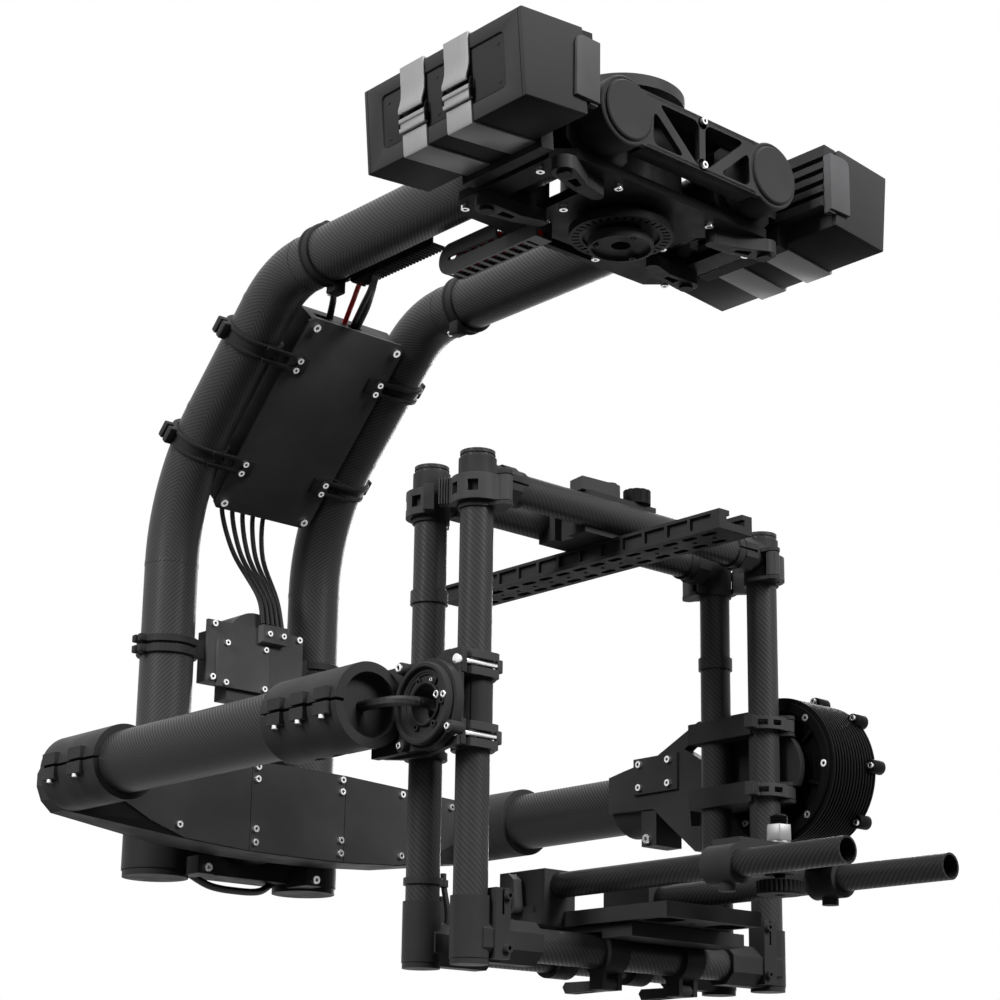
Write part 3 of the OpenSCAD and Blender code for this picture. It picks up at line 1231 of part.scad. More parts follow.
module rod_lever() {
  x = -rod_half_w - rod_r - 10;
  color("#2c2c2e") hung() translate([0, bracket_y[0] + 25, plate_z + 14]) difference() {
    union() {
      xrod(6, x - 8 - body_gap, x - body_gap);
      along_x(x - 8 - body_gap, x - body_gap) polygon([[-6, 0], [6, 0], [9, 22], [2, 25], [-4, 20]]);
    }
    xrod(pin_r + run_fit, x - 10, x + 1);
    along_x(x - 6, x - 2) polygon([[0, 9], [5, 9], [6.5, 26], [1, 26]]);
  }
}

mount_disc();
pan_shaft();
shaft_end_ring();
pan_motor_housing();
head_plates();
pan_tube_clamps();
index_ring();
battery_trays();
batteries();
battery_straps();
drag_chain();
head_screws();
pan_lever_near_front();
pan_lever_near_rear();
pan_lever_far_front();
pan_lever_far_rear();
near_yoke_tube();
far_yoke_tube();
front_truss();
band_clamps();
controller_box();
controller_cover();
connector_box();
yoke_cables();
foot_bracket();
roll_motor();
yoke_screws();
roll_box();
roll_covers();
near_arm_tube();
far_arm_tube();
near_arm_fitting();
far_arm_fitting();
tilt_motor();
roll_shaft();
hub_cable();
roll_screws();
near_stage();
far_stage();
near_stage_levers();
far_stage_levers();
cage_tubes();
cage_crossbars();
top_corner_clamps();
bottom_corner_blocks();
cage_lever_near_front();
cage_lever_near_rear();
cage_lever_far_front();
cage_lever_far_rear();
rail_carriage();
rail_lever();
rail_knob();
top_rail();
cross_slide();
cross_levers();
camera_plate();
lens_rods();
lens_support();
thumb_screw();
rod_lever();
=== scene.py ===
import math

import bpy
from mathutils import Matrix, Vector


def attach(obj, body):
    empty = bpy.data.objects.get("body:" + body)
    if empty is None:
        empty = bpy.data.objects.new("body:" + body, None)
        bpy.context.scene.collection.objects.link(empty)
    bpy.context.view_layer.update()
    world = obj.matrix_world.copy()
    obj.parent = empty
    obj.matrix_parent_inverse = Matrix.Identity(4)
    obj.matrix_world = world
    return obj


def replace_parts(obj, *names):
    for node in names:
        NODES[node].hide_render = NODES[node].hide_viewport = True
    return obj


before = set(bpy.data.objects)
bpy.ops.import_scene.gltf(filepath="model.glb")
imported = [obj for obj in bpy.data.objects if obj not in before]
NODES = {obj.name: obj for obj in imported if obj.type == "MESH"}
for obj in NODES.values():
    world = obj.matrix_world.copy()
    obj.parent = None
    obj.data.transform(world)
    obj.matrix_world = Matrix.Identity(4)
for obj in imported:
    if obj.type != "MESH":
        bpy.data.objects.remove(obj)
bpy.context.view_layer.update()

# Lengths in metres, or in millimetres until MM is applied. The pan, roll and tilt axes cross at CROSSING.
MM = 0.001
GIMBAL_DROP = 540
CROSSING = Vector((0, 0, -GIMBAL_DROP * MM))


def at(x, y, z):
    """A point given in millimetres from the crossing of the axes."""
    return CROSSING + Vector((x, y, z)) * MM


# Camera, solved from the photograph's vanishing points
CAMERA_PLACE = (-1171.27, -1182.86, -321.91)
CAMERA_YAW, CAMERA_PITCH, CAMERA_ROLL = -41.85, 104.49, 0.73
SENSOR, LENS = 36, 78.92
SHIFT_X, SHIFT_Y = -0.0145, 0.1046


def set_camera():
    data = bpy.data.cameras.new("photo_camera")
    camera = bpy.data.objects.new("photo_camera", data)
    bpy.context.scene.collection.objects.link(camera)
    turn = (Matrix.Rotation(math.radians(CAMERA_YAW), 4, "Z")
            @ Matrix.Rotation(math.radians(CAMERA_PITCH), 4, "X")
            @ Matrix.Rotation(math.radians(CAMERA_ROLL), 4, "Z"))
    camera.matrix_world = Matrix.Translation(at(*CAMERA_PLACE)) @ turn
    data.sensor_width, data.lens = SENSOR, LENS
    data.shift_x, data.shift_y = SHIFT_X, SHIFT_Y
    data.clip_start, data.clip_end = 0.01, 50
    bpy.context.scene.camera = camera


set_camera()


# Shader maths

class Wire:
    """A socket that Python maths works on, one Math node a step."""

    def __init__(self, graph, socket):
        self.graph = graph
        self.socket = socket

    def math(self, operation, *others):
        values = dict(enumerate((self,) + others))
        return self.graph.wire("ShaderNodeMath", {"operation": operation}, values)

    def __add__(self, other): return self.math("ADD", other)
    def __sub__(self, other): return self.math("SUBTRACT", other)
    def __mul__(self, other): return self.math("MULTIPLY", other)
    def __truediv__(self, other): return self.math("DIVIDE", other)
    def __radd__(self, other): return self.math("ADD", other)
    def __rmul__(self, other): return self.math("MULTIPLY", other)

    def __rsub__(self, other):
        return self.graph.wire("ShaderNodeMath", {"operation": "SUBTRACT"}, {0: other, 1: self})

    def above(self, limit): return self.math("GREATER_THAN", limit)
    def below(self, limit): return self.math("LESS_THAN", limit)
    def floor(self): return self.math("FLOOR")
    def fract(self): return self.math("FRACT")
    def sine(self): return self.math("SINE")
    def size(self): return self.math("ABSOLUTE")

    def eased(self, low, high, start=0.0, end=1.0):
        """Goes smoothly from start to end as the value goes from low to high."""
        return self.graph.wire("ShaderNodeMapRange", {"interpolation_type": "SMOOTHSTEP"},
                               {"Value": self, "From Min": low, "From Max": high,
                                "To Min": start, "To Max": end})


class Graph:
    """The nodes of one material, or of the world."""

    def __init__(self, tree):
        self.tree = tree
        self.tree.nodes.clear()

    def node(self, kind, settings=None, values=None):
        made = self.tree.nodes.new(kind)
        for key, value in (settings or {}).items():
            setattr(made, key, value)
        for key, value in (values or {}).items():
            if isinstance(value, Wire):
                self.tree.links.new(value.socket, made.inputs[key])
            else:
                made.inputs[key].default_value = value
        return made

    def wire(self, kind, settings=None, values=None, out=0):
        return Wire(self, self.node(kind, settings, values).outputs[out])

    def rays(self):
        """Two masks: rays from the camera, and those with the rays off metal and through glass."""
        path = self.node("ShaderNodeLightPath")
        camera, glass, mirror = (Wire(self, path.outputs[f"Is {kind} Ray"])
                                 for kind in ("Camera", "Transmission", "Glossy"))
        return camera, (camera + glass + mirror).math("MINIMUM", 1.0)


class Finish(Graph):
    """One material."""

    def __init__(self, name):
        self.material = bpy.data.materials.new(name)
        self.material.use_nodes = True
        super().__init__(self.material.node_tree)
        self.place = self.wire("ShaderNodeTexCoord", out="Object")

    def axes(self):
        made = self.node("ShaderNodeSeparateXYZ", None, {0: self.place})
        return [Wire(self, made.outputs[i]) for i in range(3)]

    def noise(self, scale, detail=2.0, stretch=None):
        where = self.place
        if stretch:
            where = self.wire("ShaderNodeMapping", None, {"Vector": where, "Scale": stretch})
        return self.wire("ShaderNodeTexNoise", None,
                         {"Vector": where, "Scale": scale, "Detail": detail})

    def mix(self, factor, first, second):
        """Between two colours."""
        return self.wire("ShaderNodeMix", {"data_type": "RGBA"},
                         {0: factor, 6: first, 7: second}, out=2)

    def blended(self, factor, first, second):
        """Between two values."""
        return self.wire("ShaderNodeMix", {"data_type": "FLOAT"}, {0: factor, 2: first, 3: second})

    def rounded(self, radius):
        """Normal with its edges broken by a radius."""
        return self.wire("ShaderNodeBevel", {"samples": 4}, {"Radius": radius})

    def edges(self, soft_normal):
        """1 along the edges that the radius has broken, 0 elsewhere."""
        flat = self.wire("ShaderNodeNewGeometry", out="Normal")
        along = self.wire("ShaderNodeVectorMath", {"operation": "DOT_PRODUCT"},
                          {0: soft_normal, 1: flat}, out="Value")
        return along.eased(0.97, 0.80)

    def bump(self, height, strength, distance, normal=None):
        values = {"Height": height, "Strength": strength, "Distance": distance}
        if normal:
            values["Normal"] = normal
        return self.wire("ShaderNodeBump", None, values)

    def close(self, **sockets):
        """The finished surface. Socket names are written with _ for a space."""
        values = {key.replace("_", " "): value for key, value in sockets.items()}
        surface = self.wire("ShaderNodeBsdfPrincipled", None, values)
        self.node("ShaderNodeOutputMaterial", None, {0: surface})
        return self.material


def grey(level, tint=0.0):
    """A grey, slightly blue where tint is above 0."""
    return (level, level, level * (1 + tint), 1)


# Finishes

def anodised(name, level, roughness, radius=0.0004, wear=1.6):
    """Bead-blasted black alloy: fine grain, faint clouds in the dye, paler broken edges."""
    f = Finish(name)
    soft = f.rounded(radius)
    edge = f.edges(soft)
    cloud = f.noise(14, 3).eased(0.35, 0.65)
    grain = f.noise(2600, 1)
    colour = f.mix(cloud, grey(level * 0.88, 0.02), grey(level * 1.1, 0.03))
    colour = f.mix(edge * 0.55, colour, grey(level * wear, 0.02))
    handled = f.noise(55, 3).eased(0.3, 0.7)
    return f.close(Base_Color=colour, Metallic=0.0, Specular_IOR_Level=0.04,
                   Roughness=f.blended(handled, roughness - 0.05, roughness + 0.07) - edge * 0.06,
                   Normal=f.bump(grain, 0.16, 0.0002, soft))


def machined(name, level, roughness, metallic=0.35):
    """Bare turned metal with fine tool marks, and painted shade that darkens its sockets."""
    f = Finish(name)
    # Painted shade: ambient occlusion turns the sockets and other tight hollows nearly black
    shade = f.wire("ShaderNodeAmbientOcclusion", {"samples": 6, "only_local": True},
                   {"Distance": 0.0022}, out="AO")
    open_face = shade.eased(0.35, 0.85)
    marks = f.noise(3200, 1)
    colour = f.mix(open_face, grey(0.012), f.mix(marks, grey(level * 0.9), grey(level)))
    return f.close(Base_Color=colour, Metallic=metallic, Specular_IOR_Level=0.5,
                   Roughness=f.blended(marks, roughness - 0.06, roughness + 0.08),
                   Normal=f.bump(marks, 0.12, 0.0001, f.rounded(0.00025)))


def twill(f, along, across, tow):
    """Two over, two under: (1 where the tow lies along the tube, height of the tows)."""
    run = along / tow
    turn = across / tow
    lengthwise = ((run.floor() + turn.floor()) * 0.25).fract().below(0.5)
    crown_long = (turn.fract() * math.pi).sine()
    crown_cross = (run.fract() * math.pi).sine()
    return lengthwise, f.blended(lengthwise, crown_cross, crown_long)


def carbon(f, along, across, level=0.027, tow=0.0008, contrast=1.0):
    """Woven carbon under a thin satin resin, with painted sheen that makes the tows along the tube lighter
    than those across it, and painted shade where each tow dips at its edges.
    """
    lengthwise, height = twill(f, along, across, tow)
    fibres = f.noise(900, 2)
    patch = f.noise(9, 2).eased(0.3, 0.7)
    # Painted sheen: the tows that lie along the tube are painted lighter than those across it
    painted_dim_tows, bright = grey(level * (1 - 0.55 * contrast)), grey(level * (1 + 0.35 * contrast), 0.02)
    colour = f.mix(lengthwise, painted_dim_tows, bright)
    # Painted shade: each tow darkens towards its edges, where it dips under its neighbour
    colour = f.mix(height.eased(0.0, 0.35, 0.3, 0.0), colour, grey(level * 0.3))
    colour = f.mix(patch * 0.25, colour, grey(level * 0.8))
    return f.close(Base_Color=colour, Specular_IOR_Level=0.12,
                   Roughness=f.blended(lengthwise, 0.48, 0.32) + fibres * 0.06,
                   Normal=f.bump(height, 0.12, 0.00008))


def folded(f, value, centres):
    """Distance of value from the nearer of one or two centres."""
    if len(centres) == 1:
        return value - centres[0]
    low, high = sorted(centres)
    return value - low - value.above((low + high) / 2) * (high - low)


def tube_carbon(name, axis, centres, radius, hand=1, **look):
    """Carbon on straight tubes along axis 0, 1 or 2; centres has the other two axes' centres.

    hand is 1 or -1, the way that the lines of the weave climb."""
    f = Finish(name)
    xyz = f.axes()
    others = [i for i in range(3) if i != axis]
    first = folded(f, xyz[others[0]], centres[0])
    second = folded(f, xyz[others[1]], centres[1])
    across = first.math("ARCTAN2", second) * radius * hand
    return carbon(f, xyz[axis], across, **look)


# Yoke tubes, in millimetres: a level run, a bend, a run at 45 degrees, a long bend and an upright
YOKE_X, YOKE_R = 83.5, 25
HEAD_Z = 470
BACK_Y = 516.5
TOP_BEND_R, BACK_BEND_R = 85, 190
SLOPE_DROP = 164.5
SEAM = math.radians(135)
WEAVE_START = 0.35


def yoke_carbon():
    """Carbon that follows the bends of the yoke tubes."""
    f = Finish("yoke_carbon")
    x, y, z = f.axes()
    side = folded(f, x, [-YOKE_X * MM, YOKE_X * MM])
    top_z, back_y = (HEAD_Z - GIMBAL_DROP) * MM, BACK_Y * MM
    top_r, back_r, drop = TOP_BEND_R * MM, BACK_BEND_R * MM, SLOPE_DROP * MM
    tangent = math.tan(math.radians(45) / 2)
    slope = math.sqrt(0.5)
    corner = Vector((back_y - drop, top_z))
    top = Vector((corner.x - top_r * tangent, top_z - top_r))
    back = Vector((back_y - back_r, top_z - drop - back_r * tangent))

    def bend(centre, radius, start):
        dy, dz = y - centre.x, z - centre.y
        reach = (dy * dy + dz * dz).math("SQRT")
        return reach - radius, dy.math("ARCTAN2", dz) * radius + start

    # Out from the middle of the tube, and along it, for each run and each bend from where it starts
    upright = z.below(back.y)
    out, along = z - top_z, y
    stretches = (
        (y.above(top.x), bend(top, top_r, top.x)),
        (((y - top.x) - (z - top.y)).above(0.0),
         (((y - corner.x) + (z - corner.y)) * slope, ((y - corner.x) - (z - corner.y)) * slope + corner.x)),
        (((y - back.x) - (z - back.y)).above(0.0), bend(back, back_r, 0.0)),
        (upright, (y - back_y, WEAVE_START - z)))
    for mask, (next_out, next_along) in stretches:
        out = f.blended(mask, out, next_out)
        along = f.blended(mask, along, next_along)
    # The two halves of the lay-up meet along a seam, where the lines of the weave turn back
    outward = side * (x.above(0.0) * 2 - 1)
    turned = outward.math("ARCTAN2", out) - SEAM
    mirrored = (turned - (turned.below(-math.pi) * -math.tau)).size() * (-YOKE_R * MM)
    across = f.blended(upright, mirrored, turned * (YOKE_R * MM))
    return carbon(f, along, across, level=0.072, tow=0.0011, contrast=0.6)


def moulded(name, level, roughness, spark=1500, strength=0.35, seams=None):
    """Moulded plastic with a spark-eroded texture; seams is the middle of two seams and half their gap."""
    f = Finish(name)
    soft = f.rounded(0.0008)
    grain = f.noise(spark, 2)
    cloud = f.noise(8, 2).eased(0.3, 0.7)
    edge = f.edges(soft)
    colour = f.mix(cloud, grey(level * 0.93), grey(level * 1.05))
    colour = f.mix(edge * 0.35, colour, grey(level * 1.5))
    if seams:
        # The end caps of the case meet its shell along fine dark lines
        middle, half_gap = seams
        off_seam = ((f.axes()[1] - middle).size() - half_gap).size()
        colour = f.mix(off_seam.eased(0.0003, 0.0006), grey(level * 0.25), colour)
    return f.close(Base_Color=colour, Specular_IOR_Level=0.04,
                   Roughness=f.blended(grain, roughness - 0.06, roughness + 0.06),
                   Normal=f.bump(grain, strength, 0.00015, soft))


def brushed_strap():
    """Spring steel, brushed along the strap."""
    f = Finish("brushed_strap")
    lines = f.noise(600, 2, stretch=(0.06, 3.0, 0.06))
    blotch = f.noise(20, 2).eased(0.3, 0.7)
    colour = f.mix(lines, grey(0.33), grey(0.44, 0.01))
    colour = f.mix(blotch * 0.3, colour, grey(0.36))
    return f.close(Base_Color=colour, Metallic=0.15, Specular_IOR_Level=0.25,
                   Roughness=f.blended(lines, 0.34, 0.5),
                   Normal=f.bump(lines, 0.12, 0.0001, f.rounded(0.0004)))


def sheath(name, low, high, strength):
    """Cable sheath with a faint braid."""
    f = Finish(name)
    x, y, z = f.axes()
    pitch = 5200
    braid = ((x + z) * pitch).sine() * ((y - z) * pitch).sine()
    height = braid.eased(-0.6, 0.6)
    return f.close(Base_Color=f.mix(height, low, high), Roughness=f.blended(height, 0.5, 0.38),
                   Specular_IOR_Level=0.3, Normal=f.bump(height, strength, 0.0001))


# Wires inside the chain: their span across it, where red gives way to black, and the heights of its two runs
WIRES_X, RED_TO_X = (-0.0544, -0.0416), -0.0490
CHAIN_RUNS = ((-0.1213, -0.1168), (-0.1053, -0.1008))


def chain_links():
    """Moulded chain with the wires inside it, red and black."""
    f = Finish("chain_links")
    x, _, z = f.axes()
    grain = f.noise(2200, 2)
    lower, upper = (z.above(low) * z.below(high) for low, high in CHAIN_RUNS)
    wire = (lower + upper) * x.above(WIRES_X[0]) * x.below(WIRES_X[1])
    red = wire * x.below(RED_TO_X)
    colour = f.mix(grain, grey(0.014), grey(0.022))
    colour = f.mix(wire, colour, grey(0.008))
    colour = f.mix(red, colour, (0.62, 0.006, 0.008, 1))
    return f.close(Base_Color=colour, Roughness=f.blended(wire, 0.5, 0.35), Specular_IOR_Level=0.4,
                   Normal=f.bump(grain, 0.25, 0.00015, f.rounded(0.0004)))


BLACK = anodised("black_anodised", 0.052, 0.46)
DARK = anodised("dark_anodised", 0.066, 0.44)
LEVER = anodised("lever_anodised", 0.078, 0.40, radius=0.0005, wear=2.2)
MOTOR = anodised("motor_black", 0.009, 0.38)
PLATE = anodised("plate_black", 0.074, 0.48, radius=0.0003)
# Painted light: a much paler copy of the black anodising, for the connector box, which sits partly in shadow,
# and the tray corner plates
PAINTED_LIGHT_HOUSING = anodised("housing_black_painted_light", 0.130, 0.46)
# Painted light: a much paler copy of the black anodising, for the controller cover, which faces down away
# from the lamps
PAINTED_LIGHT_COVER = anodised("cover_black_painted_light", 0.135, 0.48, radius=0.0003)
# Painted shade: a darker copy of the black anodising for the head plates, pan tube clamps and index ring,
# seen from below in shadow
SHADED_HEAD_BLACK = anodised("head_black_painted_shade", 0.020, 0.46)
STEEL = machined("screw_steel", 0.92, 0.25, 0.9)
PALE = machined("pale_alloy", 0.30, 0.38)
CASE = moulded("battery_case", 0.066, 0.55, seams=(-0.0165, 0.0885))
PANEL = moulded("battery_panel", 0.050, 0.6)
PLASTIC = moulded("black_plastic", 0.016, 0.5, spark=2200, strength=0.25)
STRAP = brushed_strap()
SHEATH = sheath("cable_sheath", grey(0.010), grey(0.020), 0.2)
RED = sheath("red_lead", (0.90, 0.014, 0.020, 1), (0.95, 0.018, 0.024, 1), 0.05)
CHAIN = chain_links()
YOKE_CARBON = yoke_carbon()

# Middles of the straight tubes in metres, and their radii
ARM_X, ARM_Z, ARM_R = [-0.222, 0.222], [-0.54], 0.026
CAGE_X, CAGE_Y, CAGE_R = [-0.157, 0.157], [-0.0075, 0.0455], 0.0125
BAR_Z = [-0.365, -0.704]
ROD_X, ROD_Z, ROD_R = [-0.0548, 0.0548], [-0.6555], 0.0095
WIDE_TOW = 0.0011
ARM_CARBON = tube_carbon("arm_carbon", 1, (ARM_X, ARM_Z), ARM_R, hand=-1, tow=0.00095, level=0.040,
                         contrast=0.8)
CAGE_CARBON = tube_carbon("cage_carbon", 2, (CAGE_X, CAGE_Y), CAGE_R, hand=-1, tow=WIDE_TOW, level=0.052,
                          contrast=0.5)
BAR_CARBON = tube_carbon("bar_carbon", 0, (CAGE_Y, BAR_Z), CAGE_R, tow=WIDE_TOW, level=0.052, contrast=0.55)
ROD_CARBON = tube_carbon("rod_carbon", 1, (ROD_X, ROD_Z), ROD_R, tow=WIDE_TOW, contrast=0.7)

# Nodes that aren't named here are levers
COATS = {
    "mount_disc": DARK, "pan_shaft": DARK, "shaft_end_ring": DARK, "pan_motor_housing": MOTOR,
    "head_plates": SHADED_HEAD_BLACK, "pan_tube_clamps": SHADED_HEAD_BLACK, "index_ring": SHADED_HEAD_BLACK, "battery_trays": BLACK,
    "batteries": CASE, "battery_straps": STRAP, "drag_chain": CHAIN, "head_screws": STEEL,
    "near_yoke_tube": YOKE_CARBON, "far_yoke_tube": YOKE_CARBON, "front_truss": DARK,
    "band_clamps": BLACK, "controller_box": BLACK, "controller_cover": PAINTED_LIGHT_COVER, "connector_box": PAINTED_LIGHT_HOUSING,
    "yoke_cables": SHEATH, "foot_bracket": BLACK, "roll_motor": MOTOR, "yoke_screws": STEEL,
    "roll_box": BLACK, "roll_covers": PLATE, "near_arm_tube": ARM_CARBON, "far_arm_tube": ARM_CARBON,
    "near_arm_fitting": BLACK, "far_arm_fitting": BLACK, "tilt_motor": MOTOR, "roll_shaft": DARK,
    "hub_cable": SHEATH, "roll_screws": STEEL, "near_stage": BLACK, "far_stage": BLACK,
    "cage_tubes": CAGE_CARBON, "cage_crossbars": BAR_CARBON, "top_corner_clamps": BLACK,
    "bottom_corner_blocks": BLACK, "rail_carriage": BLACK, "rail_lever": LEVER, "rail_knob": PLASTIC,
    "top_rail": BLACK, "cross_slide": BLACK, "camera_plate": BLACK, "lens_rods": ROD_CARBON,
    "lens_support": BLACK, "thumb_screw": PALE,
}
for name, piece in NODES.items():
    coat = COATS.get(name, LEVER)
    if not piece.material_slots:
        piece.data.materials.append(coat)
    for slot in piece.material_slots:
        slot.material = coat


# Modelling: primitives, shaped in edit mode
SMOOTH_UP_TO = math.radians(32)
BEVEL_FROM = math.radians(35)
CABLE_STEPS = 14


def clear():
    """Leaves edit mode with nothing selected."""
    if bpy.context.mode != "OBJECT":
        bpy.ops.object.mode_set(mode="OBJECT")
    bpy.ops.object.select_all(action="DESELECT")


def pick(piece):
    """Selects one object alone and makes it active."""
    clear()
    piece.select_set(True)
    bpy.context.view_layer.objects.active = piece


def added(name, data):
    """A new object from a mesh or a curve, selected alone."""
    piece = bpy.data.objects.new(name, data)
    bpy.context.scene.collection.objects.link(piece)
    pick(piece)
    return piece


def turn_outwards():
    """Makes the faces of the active object point outwards."""
    bpy.ops.object.mode_set(mode="EDIT")
    bpy.ops.mesh.select_all(action="SELECT")
    bpy.ops.mesh.normals_make_consistent(inside=False)
    bpy.ops.object.mode_set(mode="OBJECT")


def settle(name, body, coat, bevel=0.0):
    """Names the active object, breaks its edges, smooths it and hangs it on a body."""
    piece = bpy.context.object
    piece.name = name
    piece.data.name = name
    inside_out = piece.matrix_world.determinant() < 0
    bpy.ops.object.transform_apply(location=True, rotation=True, scale=True)
    if inside_out:
        turn_outwards()
    if bevel:
        rounding = piece.modifiers.new("rounding", "BEVEL")
        rounding.width = bevel * MM
        rounding.segments = 2
        rounding.limit_method = "ANGLE"
        rounding.angle_limit = BEVEL_FROM
        bpy.ops.object.modifier_apply(modifier=rounding.name)
    bpy.ops.object.shade_smooth_by_angle(angle=SMOOTH_UP_TO)
    piece.data.materials.clear()
    piece.data.materials.append(coat)
    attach(piece, body)
    return piece


HOME = Matrix.Translation(CROSSING)
HERE = Matrix.Identity(4)
FACING = {"x": Matrix.Rotation(math.radians(90), 4, "Y"),
          "y": Matrix.Rotation(math.radians(-90), 4, "X"),
          "z": HERE}


def spun(name, centre, axis, profile, body, coat, slot, steps=96, place=HERE):
    """A turned piece: profile is (radius, place along the axis) in millimetres, spun round the axis."""
    points = [(r * MM, 0, h * MM) for r, h in profile]
    mesh = bpy.data.meshes.new(name)
    mesh.from_pydata(points, [(i, (i + 1) % len(points)) for i in range(len(points))], [])
    piece = added(name, mesh)
    bpy.ops.object.mode_set(mode="EDIT")
    bpy.ops.mesh.select_all(action="SELECT")
    bpy.ops.mesh.spin(steps=steps, angle=math.tau, center=(0, 0, 0), axis=(0, 0, 1))
    bpy.ops.mesh.select_all(action="SELECT")
    bpy.ops.mesh.remove_doubles(threshold=0.00001)
    bpy.ops.mesh.normals_make_consistent(inside=False)
    bpy.ops.object.mode_set(mode="OBJECT")
    piece.matrix_world = place @ Matrix.Translation(centre) @ FACING[axis]
    return settle(name, body, coat)


def block(name, low, high, body, coat, slot, bevel=0.6, turn=HERE, place=HOME):
    """A box between two corners in millimetres from the crossing or from place, turned about its middle."""
    clear()
    low, high = Vector(low) * MM, Vector(high) * MM
    bpy.ops.mesh.primitive_cube_add(size=1)
    bpy.context.object.matrix_world = (place @ Matrix.Translation((low + high) / 2) @ turn
                                       @ Matrix.Diagonal((*(high - low), 1)))
    return settle(name, body, coat, bevel)


def rod(name, centre, axis, radius, length, body, coat, slot, sides=32, bevel=0.5, turn=0.0, place=HERE):
    """A round or many-sided bar about its middle, with its edges broken."""
    clear()
    bpy.ops.mesh.primitive_cylinder_add(vertices=sides, radius=radius * MM, depth=length * MM)
    bpy.context.object.matrix_world = (place @ Matrix.Translation(centre) @ FACING[axis]
                                       @ Matrix.Rotation(turn, 4, "Z"))
    return settle(name, body, coat, bevel)


def prism(name, outline, axis, low, high, rounding=0.0, place=HERE):
    """An outline in millimetres, its corners rounded, extruded along an axis from low to high."""
    along = "xyz".index(axis)
    points = []
    for a, b in outline:
        point = [a * MM, b * MM]
        point.insert(along, low * MM)
        points.append(point)
    mesh = bpy.data.meshes.new(name)
    mesh.from_pydata(points, [], [list(range(len(points)))])
    piece = added(name, mesh)
    bpy.ops.object.mode_set(mode="EDIT")
    bpy.ops.mesh.select_all(action="SELECT")
    if rounding:
        bpy.ops.mesh.bevel(offset=rounding * MM, segments=4, affect="VERTICES")
        bpy.ops.mesh.select_all(action="SELECT")
    shift = [0, 0, 0]
    shift[along] = (high - low) * MM
    bpy.ops.mesh.extrude_region_move(TRANSFORM_OT_translate={"value": shift})
    bpy.ops.object.mode_set(mode="OBJECT")
    turn_outwards()
    piece.matrix_world = place
    return piece


def carve(piece, cutter):
    """Takes a cutter out of a piece and drops the cutter."""
    pick(piece)
    cut = piece.modifiers.new("cut", "BOOLEAN")
    cut.operation, cut.object, cut.solver = "DIFFERENCE", cutter, "EXACT"
    bpy.ops.object.modifier_apply(modifier=cut.name)
    bpy.data.objects.remove(cutter)


def drawn(name, outline, axis, low, high, body, coat, slot, bevel=0.3, place=HOME, holes=(), rounding=0.0):
    """A plate or bar of one outline; holes go through it, and are rounded in the outline's stead."""
    piece = prism(name, outline, axis, low, high, 0.0 if holes else rounding)
    for hole in holes:
        carve(piece, prism("hole", hole, axis, low - 1, high + 1, rounding))
    pick(piece)
    piece.matrix_world = place
    return settle(name, body, coat, bevel)


def circle(a, b, radius, steps=48):
    """The outline of a round hole."""
    return [(a + radius * math.cos(i * math.tau / steps), b + radius * math.sin(i * math.tau / steps))
            for i in range(steps)]


def flip(outline):
    """The same outline on the other side of the middle."""
    return [(-a, b) for a, b in reversed(outline)]


def cable(name, points, radius, body, coat, slot):
    """A round cable along a smooth curve through points in millimetres from the crossing."""
    knots = [Vector(point) for point in points]
    ends = [2 * knots[0] - knots[1], *knots, 2 * knots[-1] - knots[-2]]
    route = []
    for a, b, c, d in zip(ends, ends[1:], ends[2:], ends[3:]):
        for i in range(CABLE_STEPS):
            t = i / CABLE_STEPS
            route.append(0.5 * (2 * b + (c - a) * t + (2 * a - 5 * b + 4 * c - d) * t * t
                                + (3 * b - a - 3 * c + d) * t ** 3))
    route.append(knots[-1])
    curve = bpy.data.curves.new(name, "CURVE")
    curve.dimensions = "3D"
    curve.bevel_depth = radius * MM
    curve.bevel_resolution = 5
    curve.use_fill_caps = True
    line = curve.splines.new("POLY")
    line.points.add(len(route) - 1)
    for knot, spot in zip(line.points, route):
        knot.co = (*at(*spot), 1)
    added(name, curve)
    bpy.ops.object.convert(target="MESH")
    turn_outwards()
    return settle(name, body, coat)


def joined(name, pieces):
    """One object from several on the same body."""
    clear()
    for piece in pieces:
        piece.select_set(True)
    bpy.context.view_layer.objects.active = pieces[0]
    bpy.ops.object.join()
    whole = bpy.context.object
    whole.name = name
    return whole


# Body, finish and slot of the new pieces
ROLL_MOTOR_BLACK = ("roll_stage", MOTOR, "motor_black")
LENS_PALE = ("lens_screw", PALE, "pale_alloy")
HEAD_PLASTIC = ("pan_head", PLASTIC, "black_plastic")
YOKE_DARK = ("yoke", DARK, "dark_alloy")
YOKE_BLACK = ("yoke", BLACK, "black_alloy")
YOKE_SHEATH = ("yoke", SHEATH, "cable_sheath")
TILT_BLACK = ("tilt_stage", BLACK, "black_alloy")
TILT_STEEL = ("tilt_stage", STEEL, "screw_steel")


# Tilt motor: finned rim, dished face with a dark bell, screw lugs
MOTOR_IN, MOTOR_OUT, MOTOR_R = 178.0, 238.0, 61.0
FINS, FINNED, GROOVE_R = 15, 54.0, 57


